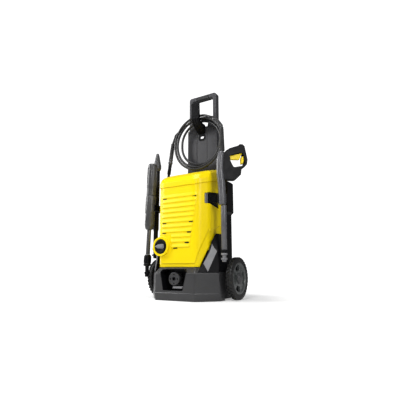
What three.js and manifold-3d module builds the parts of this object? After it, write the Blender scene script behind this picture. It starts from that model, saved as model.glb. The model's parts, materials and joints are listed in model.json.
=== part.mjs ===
// Upright pressure washer: a grey foot, a louvred yellow housing, a hose tower with a pull-out
// handle, two wheels, a hose coil on its hook, a spray gun on the right and two lances on the left.
// Millimetres. X is right, Y is back and Z is up; the origin is the centre of the foot's underside.
import * as THREE from 'three';
import { mergeVertices } from 'three/addons/utils/BufferGeometryUtils.js';
import Module from 'manifold-3d';

const wasm = await Module();
wasm.setup();

// ---------------------------------------------------------------- driving dimensions

const GAP = 0.4; // clearance between pieces that touch
const RUNNING = 0.5; // radial clearance of pieces that slide or turn
const WALL = 3.5; // thickness of the moulded housings

const FRONT_Y = -125;
const BACK_Y = 125;
const SPLIT_Y = 60; // where the front and rear housings meet

const BASE_FRONT_HALF = 92;
const BASE_SIDE_HALF = 160;
const SKIRT_TOP = 28;
const BASE_WALL_TOP = 102;
const BASE_TOP = 124;

const COVER_FRONT_Y = -105; // set back from the front of the foot
const COVER_FRONT_HALF = 88;
const COVER_SIDE_HALF = 121;
const COVER_CHAMFER_Y = -61; // where the slanted corner facets end
const COVER_BOTTOM = 125;
const COVER_TOP = 446;
const COVER_RISE = 0.28; // the top edge climbs towards the back
const CREASE = { front: 14, corner: 18, side: 42 }; // width of the recessed band on each face
const CREASE_DEPTH = 3.5;

const LOUVRE_COUNT = 11;
const LOUVRE_PITCH = 20;
const LOUVRE_BOTTOM = 200;
const LOUVRE_PROUD = 3;

const CAP_LIP = 3; // how far the lid overhangs the cover

const REAR_HALF = 132;
const REAR_TOP = 490;

const KNOB_X = -74;
const KNOB_Z = 206;
const KNOB_RING_RADIUS = 38.5;
const KNOB_RADIUS = 28.5;
const KNOB_SHAFT = 4;
const KNOB_FRONT_Y = -117;

const OUTLET_X = -9;
const OUTLET_Z = 81;
const OUTLET_RADIUS = 25;
const OUTLET_NECK = 14;
const RECESS_BACK_Y = -70;

const WHEEL_RADIUS = 82;
const WHEEL_WIDTH = 24;
const WHEEL_X = 187;
const WHEEL_Y = 40;
const AXLE_RADIUS = 5;

const TOWER_HALF = 78;
const TOWER_FRONT_Y = 86;
const TOWER_BACK_Y = 122;
const TOWER_SHOULDER = 757;
const TOWER_PEAK = 794;
const TOWER_PEAK_X = 36;
const TOWER_BAND_HALF = 27;

const LEG_INNER = 55;
const LEG_OUTER = 73;
const LEG_FRONT_Y = 90;
const LEG_BACK_Y = 118;
const HANDLE_TOP = 929;
const HANDLE_TRAVEL = 105;

const HOSE_RADIUS = 5.5;
const COIL_X = 0;
const COIL_Y = 60;
const COIL_Z = 681;
const COIL_OUTER = 131;
const COIL_INNER = 96;
const COIL_HALF_DEPTH = 17;

const GUN_AXIS = [176.3, -48.7];
const VARIO_AXIS = [-186, -64]; // where the leaning lance's line meets the floor
const VARIO_LEAN = 0.036;
const JET_AXIS = [-178, -15];

// ---------------------------------------------------------------- materials

const plastic = (color, roughness = 0.5) =>
  new THREE.MeshStandardMaterial({ color, roughness, metalness: 0, flatShading: true });
const metal = (color, roughness = 0.35) =>
  new THREE.MeshStandardMaterial({ color, roughness, metalness: 0.9, flatShading: true });

const YELLOW = plastic(0xf9dc00, 0.35);
const BASE_GREY = plastic(0x58585a);
const PANEL_GREY = plastic(0x646468);
const PALE_GREY = plastic(0x8c8c90);
const BLACK = plastic(0x1c1c1f);
const CHARCOAL = plastic(0x2c2c30);
const RUBBER = plastic(0x161616, 0.85);
const STEEL = metal(0xb8b8bc);
const CAST = metal(0x9a9a9e, 0.6);

// ---------------------------------------------------------------- solids

// Indexed copy of a geometry with shared corners merged and every face pointing out.
function closed(geometry) {
  const bare = new THREE.BufferGeometry();
  bare.setAttribute('position', geometry.getAttribute('position'));
  bare.setIndex(geometry.getIndex());
  const merged = mergeVertices(bare, 1e-3);
  const corners = merged.getIndex().array;
  const position = merged.getAttribute('position');
  const [a, b, c] = [new THREE.Vector3(), new THREE.Vector3(), new THREE.Vector3()];
  const kept = [];
  let volume = 0;
  for (let i = 0; i < corners.length; i += 3) {
    const [p, q, r] = [corners[i], corners[i + 1], corners[i + 2]];
    if (p === q || q === r || r === p) continue;
    kept.push(p, q, r);
    a.fromBufferAttribute(position, p);
    b.fromBufferAttribute(position, q);
    c.fromBufferAttribute(position, r);
    volume += a.dot(b.cross(c));
  }
  if (volume < 0) kept.reverse();
  merged.setIndex(kept);
  return merged;
}

function toSolid(shape) {
  if (shape instanceof wasm.Manifold) return shape;
  const geometry = closed(shape);
  const vertProperties = new Float32Array(geometry.getAttribute('position').array);
  const triVerts = new Uint32Array(geometry.getIndex().array);
  return new wasm.Manifold(new wasm.Mesh({ numProp: 3, vertProperties, triVerts }));
}

function toGeometry(shape) {
  if (shape instanceof THREE.BufferGeometry) return closed(shape);
  const { vertProperties, triVerts } = shape.getMesh();
  const geometry = new THREE.BufferGeometry();
  geometry.setAttribute('position', new THREE.BufferAttribute(vertProperties, 3));
  geometry.setIndex(new THREE.BufferAttribute(triVerts, 1));
  return geometry;
}

const join = (first, ...others) =>
  others.reduce((all, next) => all.add(toSolid(next)), toSolid(first));
const cut = (first, ...tools) =>
  tools.reduce((all, tool) => all.subtract(toSolid(tool)), toSolid(first));
const overlap = (first, second) => toSolid(first).intersect(toSolid(second));

function box(x0, x1, y0, y1, z0, z1) {
  const geometry = new THREE.BoxGeometry(x1 - x0, y1 - y0, z1 - z0);
  return geometry.translate((x0 + x1) / 2, (y0 + y1) / 2, (z0 + z1) / 2);
}

// Which local direction runs along the named axis, for outlines drawn in the plane across it:
// (y, z) across X, (x, z) across Y and (x, y) across Z.
const ACROSS = {
  x: new THREE.Matrix4().set(0, 0, 1, 0, 1, 0, 0, 0, 0, 1, 0, 0, 0, 0, 0, 1),
  y: new THREE.Matrix4().set(1, 0, 0, 0, 0, 0, 1, 0, 0, 1, 0, 0, 0, 0, 0, 1),
  z: new THREE.Matrix4(),
};

// Straight extrusion of an outline along an axis.
function prism(axis, outline, from, to) {
  const shape = new THREE.Shape(outline.map(([u, v]) => new THREE.Vector2(u, v)));
  const geometry = new THREE.ExtrudeGeometry(shape, { depth: to - from, bevelEnabled: false });
  return closed(geometry.translate(0, 0, from).applyMatrix4(ACROSS[axis]));
}

const TURN_ABOUT = {
  x: new THREE.Matrix4().set(0, 1, 0, 0, 0, 0, 1, 0, 1, 0, 0, 0, 0, 0, 0, 1),
  y: new THREE.Matrix4(),
  z: new THREE.Matrix4().set(0, 0, 1, 0, 1, 0, 0, 0, 0, 1, 0, 0, 0, 0, 0, 1),
};

// Solid of revolution about an axis; the profile is a list of [radius, distance along].
function turned(axis, profile, segments = 24) {
  const points = profile.map(([radius, along]) => new THREE.Vector2(radius, along));
  return closed(new THREE.LatheGeometry(points, segments).applyMatrix4(TURN_ABOUT[axis]));
}

const rod = (axis, radius, from, to, segments = 24) =>
  turned(axis, [[0, from], [radius, from], [radius, to], [0, to]], segments);

const ring = (axis, inner, outer, from, to, segments = 24) =>
  turned(axis, [[inner, from], [outer, from], [outer, to], [inner, to], [inner, from]], segments);

// Solid through plan outlines stacked in height; every outline has the same number of points.
function loft(sections) {
  const count = sections[0].outline.length;
  const last = (sections.length - 1) * count;
  const position = sections.flatMap(({ z, outline }) => outline.flatMap(([x, y]) => [x, y, z]));
  const index = [];
  for (let ringStart = 0; ringStart < last; ringStart += count) {
    for (let i = 0; i < count; i++) {
      const a = ringStart + i;
      const b = ringStart + ((i + 1) % count);
      index.push(a, b, b + count, a, b + count, a + count);
    }
  }
  const cap = (section) => {
    const vectors = section.outline.map(([x, y]) => new THREE.Vector2(x, y));
    return THREE.ShapeUtils.triangulateShape(vectors, []);
  };
  for (const [p, q, r] of cap(sections[0])) index.push(r, q, p);
  for (const [p, q, r] of cap(sections.at(-1))) index.push(last + p, last + q, last + r);
  const geometry = new THREE.BufferGeometry();
  geometry.setAttribute('position', new THREE.Float32BufferAttribute(position, 3));
  geometry.setIndex(index);
  return closed(geometry);
}

// Counter-clockwise outline moved inwards by a distance; a negative distance moves it outwards.
function inset(outline, distance) {
  const count = outline.length;
  const normal = ([x0, y0], [x1, y1]) => new THREE.Vector2(y0 - y1, x1 - x0).normalize();
  return outline.map((corner, i) => {
    const before = normal(outline[(i + count - 1) % count], corner);
    const after = normal(corner, outline[(i + 1) % count]);
    const shift = before.clone().add(after).multiplyScalar(distance / (1 + before.dot(after)));
    return [corner[0] + shift.x, corner[1] + shift.y];
  });
}

// Outline with its corners rounded to arcs.
function rounded(outline, radii, steps = 3) {
  const count = outline.length;
  const at = (i) => new THREE.Vector2(...outline[(i + count) % count]);
  return outline.flatMap((_, i) => {
    const corner = at(i);
    const radius = Array.isArray(radii) ? radii[i] : radii;
    if (radius === 0) return [[corner.x, corner.y]];
    const back = at(i - 1).sub(corner).normalize();
    const ahead = at(i + 1).sub(corner).normalize();
    const half = Math.acos(THREE.MathUtils.clamp(back.dot(ahead), -1, 1)) / 2;
    const inward = back.clone().add(ahead).normalize();
    const centre = inward.multiplyScalar(radius / Math.sin(half)).add(corner);
    const start = back.multiplyScalar(radius / Math.tan(half)).add(corner).sub(centre);
    const end = ahead.multiplyScalar(radius / Math.tan(half)).add(corner).sub(centre);
    const turn = Math.atan2(start.cross(end), start.dot(end));
    return Array.from({ length: steps + 1 }, (_unused, step) => {
      const spoke = start.clone().rotateAround(new THREE.Vector2(), (turn * step) / steps);
      return [centre.x + spoke.x, centre.y + spoke.y];
    });
  });
}

// A rounded plan drawn inside its corners by a distance, with as many points at any distance.
function planOf(corners, radii, steps = 3) {
  const shrunk = (radius, distance) => (radius === 0 ? 0 : Math.max(radius - distance, 1));
  return (distance = 0) =>
    rounded(inset(corners, distance), radii.map((radius) => shrunk(radius, distance)), steps);
}

// Round bar along a smooth curve.
function bar(points, radius, steps, sides = 10) {
  const section = new THREE.Shape();
  for (let i = 0; i < sides; i++) {
    const angle = (2 * Math.PI * i) / sides;
    const corner = [radius * Math.cos(angle), radius * Math.sin(angle)];
    if (i === 0) section.moveTo(...corner);
    else section.lineTo(...corner);
  }
  const stops = points.map((point) => new THREE.Vector3(...point));
  const extrudePath = new THREE.CatmullRomCurve3(stops, false, 'centripetal');
  return closed(new THREE.ExtrudeGeometry(section, { steps, extrudePath, bevelEnabled: false }));
}

const mirrored = (shape) => closed(toGeometry(shape).clone().scale(-1, 1, 1));

// ---------------------------------------------------------------- assembly

const SIDES = [[-1, 'left'], [1, 'right']];

const washer = new THREE.Group();
washer.name = 'pressure_washer';

function add(name, shape, material, parent = washer) {
  const mesh = new THREE.Mesh(toGeometry(shape), material);
  mesh.name = name;
  parent.add(mesh);
  return mesh;
}

function groupAt(x, y, z = 0, turnZ = 0) {
  const group = new THREE.Group();
  group.position.set(x, y, z);
  group.rotation.z = turnZ;
  washer.add(group);
  return group;
}

// ---------------------------------------------------------------- foot

const CORNER_Y = -48; // where the slanted front corner ends
const basePlan = planOf(
  [
    [-BASE_FRONT_HALF, FRONT_Y],
    [BASE_FRONT_HALF, FRONT_Y],
    [BASE_SIDE_HALF, CORNER_Y],
    [BASE_SIDE_HALF, BACK_Y],
    [-BASE_SIDE_HALF, BACK_Y],
    [-BASE_SIDE_HALF, CORNER_Y],
  ],
  [12, 12, 16, 12, 12, 16],
);

// Plan of the sloping top: drawn in at the front and the sides, and less at the back.
const shoulderPlan = (distance, atBack) =>
  basePlan(distance).map(([x, y]) => [x, y > 0 ? y + distance - atBack : y]);

// Room for a wheel beside the foot, and under its raised rear edge, from a distance off the middle.
const ARCH = { radius: 90, x: 153, wall: 6, edgeX: 120, edgeY: -2, edgeHeight: 8 };
function wheelSpace(grow) {
  const from = ARCH.x - grow;
  const arch = rod('x', ARCH.radius + grow, from, 220, 48).translate(0, WHEEL_Y, WHEEL_RADIUS);
  const edge = box(ARCH.edgeX - grow, 220, ARCH.edgeY - grow, 140, -5, ARCH.edgeHeight + grow);
  return [arch, edge, mirrored(arch), mirrored(edge)];
}

const RECESS = [[-53, 37], [37, 37], [54, 106], [44, 118], [-56, 118], [-68, 106]];
const FOOT_PAD = { half: 16, x: 60, y: -95, height: 3 };
const INLET = { x: 60, z: 70 };
const NECK_BORE = OUTLET_NECK + GAP;
const AXLE_BORE = AXLE_RADIUS + RUNNING;

function baseTub() {
  const outer = loft([
    { z: 0, outline: basePlan(5) },
    { z: SKIRT_TOP, outline: basePlan() },
    { z: SKIRT_TOP + 1.5, outline: basePlan(2) },
    { z: BASE_WALL_TOP, outline: basePlan(2) },
    { z: BASE_TOP, outline: shoulderPlan(22, 4) },
  ]);
  const inner = loft([
    { z: WALL + 3, outline: basePlan(10) },
    { z: BASE_WALL_TOP - 1, outline: basePlan(6) },
    { z: BASE_TOP + 6, outline: shoulderPlan(34, 10) },
  ]);
  const hollow = cut(inner, ...wheelSpace(ARCH.wall));
  const pocketBlock = prism('y', inset(RECESS, -WALL), FRONT_Y, RECESS_BACK_Y + WALL);
  const pads = [-1, 1].map((side) => {
    const x = side * FOOT_PAD.x;
    const reach = FOOT_PAD.half + GAP;
    return box(x - reach, x + reach, FOOT_PAD.y - reach, FOOT_PAD.y + reach, -1, FOOT_PAD.height);
  });
  return cut(
    join(cut(outer, hollow, ...wheelSpace(0)), overlap(outer, pocketBlock)),
    prism('y', RECESS, FRONT_Y - 10, RECESS_BACK_Y),
    rod('x', AXLE_BORE, -BASE_SIDE_HALF, BASE_SIDE_HALF).translate(0, WHEEL_Y, WHEEL_RADIUS),
    rod('y', NECK_BORE, RECESS_BACK_Y - 5, RECESS_BACK_Y + 10).translate(OUTLET_X, 0, OUTLET_Z),
    rod('y', NECK_BORE, BACK_Y - 15, BACK_Y + 5).translate(INLET.x, 0, INLET.z),
    ...pads,
  );
}

add('base_tub', baseTub(), BASE_GREY);
const { half: padHalf } = FOOT_PAD;
const footPad = box(-padHalf, padHalf, -padHalf, padHalf, 0, FOOT_PAD.height - GAP);
for (const [side, label] of SIDES) {
  add(`foot_pad_${label}`, footPad, RUBBER).position.set(side * FOOT_PAD.x, FOOT_PAD.y, 0);
}

// ---------------------------------------------------------------- front cover and lid

const coverPlan = planOf(
  [
    [-COVER_FRONT_HALF, COVER_FRONT_Y],
    [COVER_FRONT_HALF, COVER_FRONT_Y],
    [COVER_SIDE_HALF, COVER_CHAMFER_Y],
    [COVER_SIDE_HALF + 1, SPLIT_Y],
    [-COVER_SIDE_HALF - 1, SPLIT_Y],
    [-COVER_SIDE_HALF, COVER_CHAMFER_Y],
  ],
  [40, 40, 34, 0, 0, 34],
  6,
);

// The climb of the cover's top edge and of the lid.
const CLIMB = new THREE.Matrix4().makeTranslation(0, 0, -COVER_RISE * COVER_FRONT_Y)
  .multiply(new THREE.Matrix4().set(1, 0, 0, 0, 0, 1, 0, 0, 0, COVER_RISE, 1, 0, 0, 0, 0, 1));

// What is cut away below the cover's lower edge, which climbs the corner facets and then the sides.
// The share is 0 at the edge itself and 1 at the crease above it.
function belowEdge(share) {
  const [inward, up] = [CREASE.corner * share, CREASE.side * share];
  const slope = 0.3;
  const facets = prism(
    'y',
    [[85.5 - inward, 100], [300, 100], [300, 240 + up], [127.1 - inward + slope * up, 240 + up]],
    FRONT_Y - 20,
    COVER_CHAMFER_Y + 3,
  );
  const sides = prism('x', [[-72, 100], [80, 100], [80, 268 + up], [-72, 216 + up]], 115.5, 140);
  const floor = box(-200, 200, -200, 80, 90, COVER_BOTTOM + CREASE.front * share);
  return join(facets, sides, floor, mirrored(facets), mirrored(sides));
}

const shell = (outline, from, to) => loft([{ z: from, outline }, { z: to, outline }]);

const LOUVRE_TOP = LOUVRE_BOTTOM + LOUVRE_COUNT * LOUVRE_PITCH;
const LOUVRE_AREA = [
  [-28, 195], [54, 195], [92, LOUVRE_TOP], [-74, LOUVRE_TOP], [-74, 252], [-28, 252],
];

// Clapboard rows: each one leans out towards the narrow flat along its lower edge.
function louvres() {
  const rowSections = (z) => [
    { z, outline: coverPlan(1) },
    { z: z + 1, outline: coverPlan(-LOUVRE_PROUD) },
    { z: z + 3.5, outline: coverPlan(-LOUVRE_PROUD) },
    { z: z + LOUVRE_PITCH - 1.5, outline: coverPlan(1) },
  ];
  const bottoms = Array.from({ length: LOUVRE_COUNT }, (_, i) => LOUVRE_BOTTOM + i * LOUVRE_PITCH);
  const area = prism('y', LOUVRE_AREA, COVER_FRONT_Y - 10, COVER_FRONT_Y + 30);
  return overlap(loft(bottoms.flatMap(rowSections)), area);
}

const VENTS = [
  { x: -64, row: 10 }, { x: 75, row: 10 }, { x: -64, row: 5 }, { x: 62, row: 5 },
  { x: -64, row: 3 }, { x: 54, row: 3 }, { x: 44, row: 1 }, { x: -9, row: 0 },
];
const NOTCH = [[-77, 371], [-57, 371], [18, 358], [18, 426], [-57, 417], [-77, 411]];

function frontCover() {
  const inner = shell(coverPlan(WALL + CREASE_DEPTH), 80, 540);
  const above = cut(shell(coverPlan(), 100, 520), belowEdge(1));
  const band = cut(shell(coverPlan(CREASE_DEPTH), 100, 330), belowEdge(0));
  const onKnob = (radius, from, to) => rod('y', radius, from, to, 36).translate(KNOB_X, 0, KNOB_Z);
  const slots = VENTS.map(({ x, row }) => {
    const z = LOUVRE_BOTTOM + row * LOUVRE_PITCH;
    return box(x - 9, x + 9, COVER_FRONT_Y - 6, COVER_FRONT_Y + 18, z - 3.5, z - 0.5);
  });
  const notch = prism('x', NOTCH, 100, 140);
  const overTop = box(-200, 200, -200, 100, COVER_TOP, 600).applyMatrix4(CLIMB);
  return cut(
    join(above, band, louvres(), onKnob(KNOB_RING_RADIUS, KNOB_FRONT_Y, -68)),
    inner,
    box(-118, 118, SPLIT_Y - 12, SPLIT_Y + 10, 0, 600),
    onKnob(KNOB_RADIUS + 1, KNOB_FRONT_Y - 5, COVER_FRONT_Y - 2),
    onKnob(KNOB_SHAFT + RUNNING, KNOB_FRONT_Y, -60),
    notch,
    mirrored(notch),
    overTop,
    ...slots,
  );
}

// Plan of the lid, drawn in at its sides and further at its front, where the corners narrow too.
function lidPlan(side, front, backY) {
  const frontY = COVER_FRONT_Y - CAP_LIP + side;
  return coverPlan(side - CAP_LIP).map(([x, y]) => {
    if (y > 0) return [x, backY];
    const share = (backY - y) / (backY - frontY);
    const narrowed = y < COVER_CHAMFER_Y ? Math.sign(x) * front * 0.8 * (1 - (y - frontY) / 70) : 0;
    return [x - narrowed, y + share * front];
  });
}

function topCap() {
  const base = COVER_TOP + GAP;
  const section = (rise, side, front, backY) => ({ z: base + rise, outline: lidPlan(side, front, backY) });
  const outer = loft([
    section(0, 0, 0, SPLIT_Y),
    section(20, 0, 0, SPLIT_Y),
    section(36, 3, 6, SPLIT_Y),
    section(43, 9, 14, SPLIT_Y),
    section(47, 20, 22, SPLIT_Y),
    section(49, 40, 30, SPLIT_Y),
  ]);
  const inner = loft([
    section(-5, 6, 0, SPLIT_Y - WALL),
    section(20, 6, 0, SPLIT_Y - WALL),
    section(36, 12, 12, SPLIT_Y - WALL),
    section(42, 28, 24, SPLIT_Y - WALL),
  ]);
  return toGeometry(cut(outer, inner)).applyMatrix4(CLIMB);
}

const BACKING = [[-32, 190], [66, 190], [70, 412], [-70, 412], [-70, 258], [-32, 258]];
const BACKING_Y = COVER_FRONT_Y + 8;

add('front_cover', frontCover(), YELLOW);
add('top_cap', topCap(), YELLOW);
add('louvre_backing', prism('y', BACKING, BACKING_Y, BACKING_Y + 2.5), BLACK);

// ---------------------------------------------------------------- dark shoulders beside the cover

// Slanted corner first, then straight back to the split and across to the cover's side.
const shoulder = (corner, outerX, backY, innerX) => [...corner, [outerX, backY], [innerX, backY]];

function cheek() {
  const back = SPLIT_Y - 1;
  const bulk = loft([
    { z: 104, outline: shoulder([[98, -113], [124, -84], [153, -51], [155, -40]], 155, back, 101) },
    { z: 186, outline: shoulder([[119, -68], [146, -44], [152, -34], [152, -20]], 152, back, 112) },
    { z: 226, outline: shoulder([[123, -48], [138, -34], [142, -26], [142, -12]], 142, back, 114) },
    { z: 256, outline: shoulder([[124, -20], [127, -14], [129, -8], [130, 0]], 130, back, 114) },
  ]);
  const hollow = loft([
    { z: 90, outline: shoulder([[60, -84], [112, -82], [143, -49], [145, -36]], 145, 40, 60) },
    { z: 215, outline: shoulder([[60, -60], [122, -40], [136, -26], [138, -16]], 138, 40, 60) },
  ]);
  const coverSpace = cut(shell(coverPlan(-GAP), 100, 480), belowEdge(-GAP / CREASE.front));
  const baseSpace = loft([
    { z: 60, outline: basePlan(2 - GAP) },
    { z: BASE_WALL_TOP + GAP, outline: basePlan(2 - GAP) },
    { z: BASE_TOP + GAP, outline: shoulderPlan(22 - GAP, 4 - GAP) },
  ]);
  const behindCover = shell(coverPlan(WALL + CREASE_DEPTH + GAP), 90, 300);
  return cut(bulk, hollow, coverSpace, baseSpace, cut(behindCover, box(-99, 99, -200, 200, 0, 400)));
}

const rightCheek = cheek();
add('cheek_right', rightCheek, BLACK);
add('cheek_left', mirrored(rightCheek), BLACK);

// ---------------------------------------------------------------- rear housing

const REAR_PLAN = [
  [-REAR_HALF, SPLIT_Y + GAP],
  [REAR_HALF, SPLIT_Y + GAP],
  [REAR_HALF, BACK_Y - 14],
  [REAR_HALF - 14, BACK_Y],
  [14 - REAR_HALF, BACK_Y],
  [-REAR_HALF, BACK_Y - 14],
];
const GLAND = { x: -60, z: 190, radius: 8 };

function rearCover() {
  const outer = loft([
    { z: BASE_TOP + 1, outline: inset(REAR_PLAN, -5) },
    { z: 146, outline: inset(REAR_PLAN, -4) },
    { z: 156, outline: REAR_PLAN },
    { z: 345, outline: REAR_PLAN },
    { z: 354, outline: inset(REAR_PLAN, -8.5) },
    { z: REAR_TOP - 8, outline: inset(REAR_PLAN, -8.5) },
    { z: REAR_TOP, outline: inset(REAR_PLAN, 1) },
  ]);
  const openPlan = REAR_PLAN.map(([x, y], i) => [x, i < 2 ? 0 : y]);
  const hollow = shell(inset(openPlan, 4), BASE_TOP + 5, REAR_TOP - 4);
  return cut(
    outer,
    box(-200, 200, 0, SPLIT_Y + GAP, 0, 600),
    hollow,
    rod('y', GLAND.radius + GAP, BACK_Y - 15, BACK_Y + 10).translate(GLAND.x, 0, GLAND.z),
  );
}

add('rear_cover', rearCover(), BLACK);
const gland = turned('y', [
  [0, 112], [GLAND.radius, 112], [GLAND.radius, 126], [12, 126], [12, 130],
  [GLAND.radius, 138], [6.5, 146], [0, 146],
]);
add('power_cord_gland', gland, RUBBER).position.set(GLAND.x, 0, GLAND.z);

// ---------------------------------------------------------------- tower, hook and handle

const CHANNEL_FLOOR = REAR_TOP + 12;
const ABOVE_TOWER = TOWER_PEAK + 26;

function tower() {
  const outline = [
    [-TOWER_HALF, REAR_TOP + GAP],
    [TOWER_HALF, REAR_TOP + GAP],
    [TOWER_HALF, TOWER_SHOULDER],
    [TOWER_PEAK_X, TOWER_PEAK],
    [TOWER_BAND_HALF, 768],
    [-TOWER_BAND_HALF, 768],
    [-TOWER_PEAK_X, TOWER_PEAK],
    [-TOWER_HALF, TOWER_SHOULDER],
  ];
  const channels = [-1, 1].map((side) => {
    const middle = side * (LEG_INNER + LEG_OUTER) / 2;
    const half = (LEG_OUTER - LEG_INNER) / 2 + RUNNING;
    const [front, back] = [LEG_FRONT_Y - RUNNING, LEG_BACK_Y + RUNNING];
    return box(middle - half, middle + half, front, back, CHANNEL_FLOOR, ABOVE_TOWER);
  });
  const grooves = [-1, 1].map((side) => {
    const x = side * TOWER_BAND_HALF;
    const depth = 2.5;
    return box(x - 1.5, x + 1.5, TOWER_FRONT_Y - 2, TOWER_FRONT_Y + depth, REAR_TOP + 6, ABOVE_TOWER);
  });
  return cut(
    prism('y', outline, TOWER_FRONT_Y, TOWER_BACK_Y),
    ...channels,
    ...grooves,
    box(-44, 44, TOWER_FRONT_Y + 6, TOWER_BACK_Y + 5, REAR_TOP + 6, 755),
    box(-15, 15, TOWER_FRONT_Y - 5, TOWER_BACK_Y + 5, 704, 730),
  );
}

const HOOK_HALF = 19;
const HOOK_PROFILE = [
  [TOWER_FRONT_Y - GAP, 733], [TOWER_FRONT_Y - GAP, 770], [78, 774.5], [42, 774.5],
  [36, 796], [22, 796], [19, 786], [32, 764], [56, 748],
];
const TONGUE_PROFILE = [[22.5, 796.4], [35.5, 796.4], [32, 858], [27, 866], [22.5, 862]];

add('tower', tower(), PANEL_GREY);
add('hose_hook', prism('x', HOOK_PROFILE, -HOOK_HALF, HOOK_HALF), BLACK);
add('hook_tongue', prism('x', TONGUE_PROFILE, -20, 20), PALE_GREY);

const GRIP_HALF = 34;
const GRIP_WALL = 4;
const CROSSBAR_BOTTOM = HANDLE_TOP - 19;

function handle() {
  const bottom = CHANNEL_FLOOR + HANDLE_TRAVEL + 2;
  const outline = rounded(
    [
      [-LEG_OUTER, bottom], [-LEG_INNER, bottom],
      [-LEG_INNER, CROSSBAR_BOTTOM], [LEG_INNER, CROSSBAR_BOTTOM],
      [LEG_INNER, bottom], [LEG_OUTER, bottom],
      [LEG_OUTER, HANDLE_TOP], [-LEG_OUTER, HANDLE_TOP],
    ],
    [0, 0, 4, 4, 0, 0, 12, 12],
  );
  const core = prism(
    'x',
    [
      [LEG_FRONT_Y + GRIP_WALL, CROSSBAR_BOTTOM + GRIP_WALL],
      [LEG_BACK_Y - GRIP_WALL, CROSSBAR_BOTTOM + GRIP_WALL],
      [LEG_BACK_Y - GRIP_WALL, HANDLE_TOP + 6],
      [LEG_FRONT_Y + GRIP_WALL, HANDLE_TOP + 6],
    ],
    -GRIP_HALF - 5,
    GRIP_HALF + 5,
  );
  const seat = GRIP_HALF + GAP;
  const gripSeat = cut(box(-seat, seat, 80, 130, CROSSBAR_BOTTOM - 5, HANDLE_TOP + 5), core);
  return cut(prism('y', outline, LEG_FRONT_Y, LEG_BACK_Y), gripSeat);
}

// A trough that wraps the crossbar from below.
function grip() {
  const top = HANDLE_TOP - 1;
  const floor = CROSSBAR_BOTTOM + GRIP_WALL - GAP;
  const [front, back] = [LEG_FRONT_Y + GRIP_WALL - GAP, LEG_BACK_Y - GRIP_WALL + GAP];
  const outline = rounded(
    [
      [LEG_FRONT_Y, CROSSBAR_BOTTOM], [LEG_BACK_Y, CROSSBAR_BOTTOM],
      [LEG_BACK_Y, top], [back, top], [back, floor], [front, floor], [front, top],
      [LEG_FRONT_Y, top],
    ],
    [2, 2, 0, 0, 0, 0, 0, 0],
  );
  return prism('x', outline, -GRIP_HALF, GRIP_HALF);
}

add('telescopic_handle', handle(), PANEL_GREY);
add('handle_grip', grip(), RUBBER);

// ---------------------------------------------------------------- switch

const POINTER = [[-23, 0], [-10, -8], [19, -8], [19, 8], [-10, 8]];
const POINTER_PROUD = 9;
const SHAFT_END = -79;

function knob() {
  const dialBack = COVER_FRONT_Y - 2 - GAP;
  const dial = turned('y', [
    [0, KNOB_FRONT_Y - 3], [25.5, KNOB_FRONT_Y - 3], [KNOB_RADIUS, KNOB_FRONT_Y],
    [KNOB_RADIUS, dialBack], [KNOB_SHAFT, dialBack], [KNOB_SHAFT, SHAFT_END], [0, SHAFT_END],
  ], 32);
  return join(dial, prism('y', POINTER, KNOB_FRONT_Y - POINTER_PROUD, KNOB_FRONT_Y));
}

function switchBox() {
  const shaftBore = rod('y', KNOB_SHAFT + RUNNING, -100, SHAFT_END + 2);
  return cut(box(-11, 11, -91, -64, -18, 18), shaftBore);
}

add('switch_knob', knob(), BLACK).position.set(KNOB_X, 0, KNOB_Z);
add('switch_box', switchBox(), CHARCOAL).position.set(KNOB_X, 0, KNOB_Z);

// ---------------------------------------------------------------- high-pressure outlet and water inlet

const outlet = turned('y', [
  [0, -98], [7, -98], [7, -113], [24, -113], [OUTLET_RADIUS, -110], [OUTLET_RADIUS, -103],
  [20, -98], [20, -84], [OUTLET_NECK, -84], [OUTLET_NECK, -61], [0, -61],
], 24);
add('outlet_coupling', outlet, BASE_GREY).position.set(OUTLET_X, 0, OUTLET_Z);

function outletBracket() {
  const plate = box(-40, 38, -77, RECESS_BACK_Y - GAP, 58, 116);
  const hood = box(-14, 38, -106, -72, 113, 116);
  return cut(join(plate, hood), rod('y', 20 + GAP, -90, -60).translate(OUTLET_X, 0, OUTLET_Z));
}

add('outlet_bracket', outletBracket(), PALE_GREY);
const RELEASE_BUTTON = [[-16, 45], [28, 45], [32, 53], [-12, 53]];
add('outlet_release_button', prism('y', RELEASE_BUTTON, -112, -82), PALE_GREY);

const inletBody = turned('y', [
  [0, 104], [OUTLET_NECK, 104], [OUTLET_NECK, 126], [18, 126], [18, 136], [13, 138],
  [13, 152], [9, 152], [9, 122], [0, 122],
]);
add('water_inlet', inletBody, CHARCOAL).position.set(INLET.x, 0, INLET.z);
const filter = turned('y', [[0, 122.4], [7.5, 122.4], [8, 146], [3, 150], [0, 150]], 16);
add('inlet_filter', filter, PALE_GREY).position.set(INLET.x, 0, INLET.z);

// ---------------------------------------------------------------- motor and pump

const MOTOR_Y = -18;
const SHAFT_RADIUS = 6;
const SHAFT_SEAT = SHAFT_RADIUS + GAP;
const PUMP_TOP = 150;
const PISTON = { count: 3, radius: 6, circle: 21, top: 184 };

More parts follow.
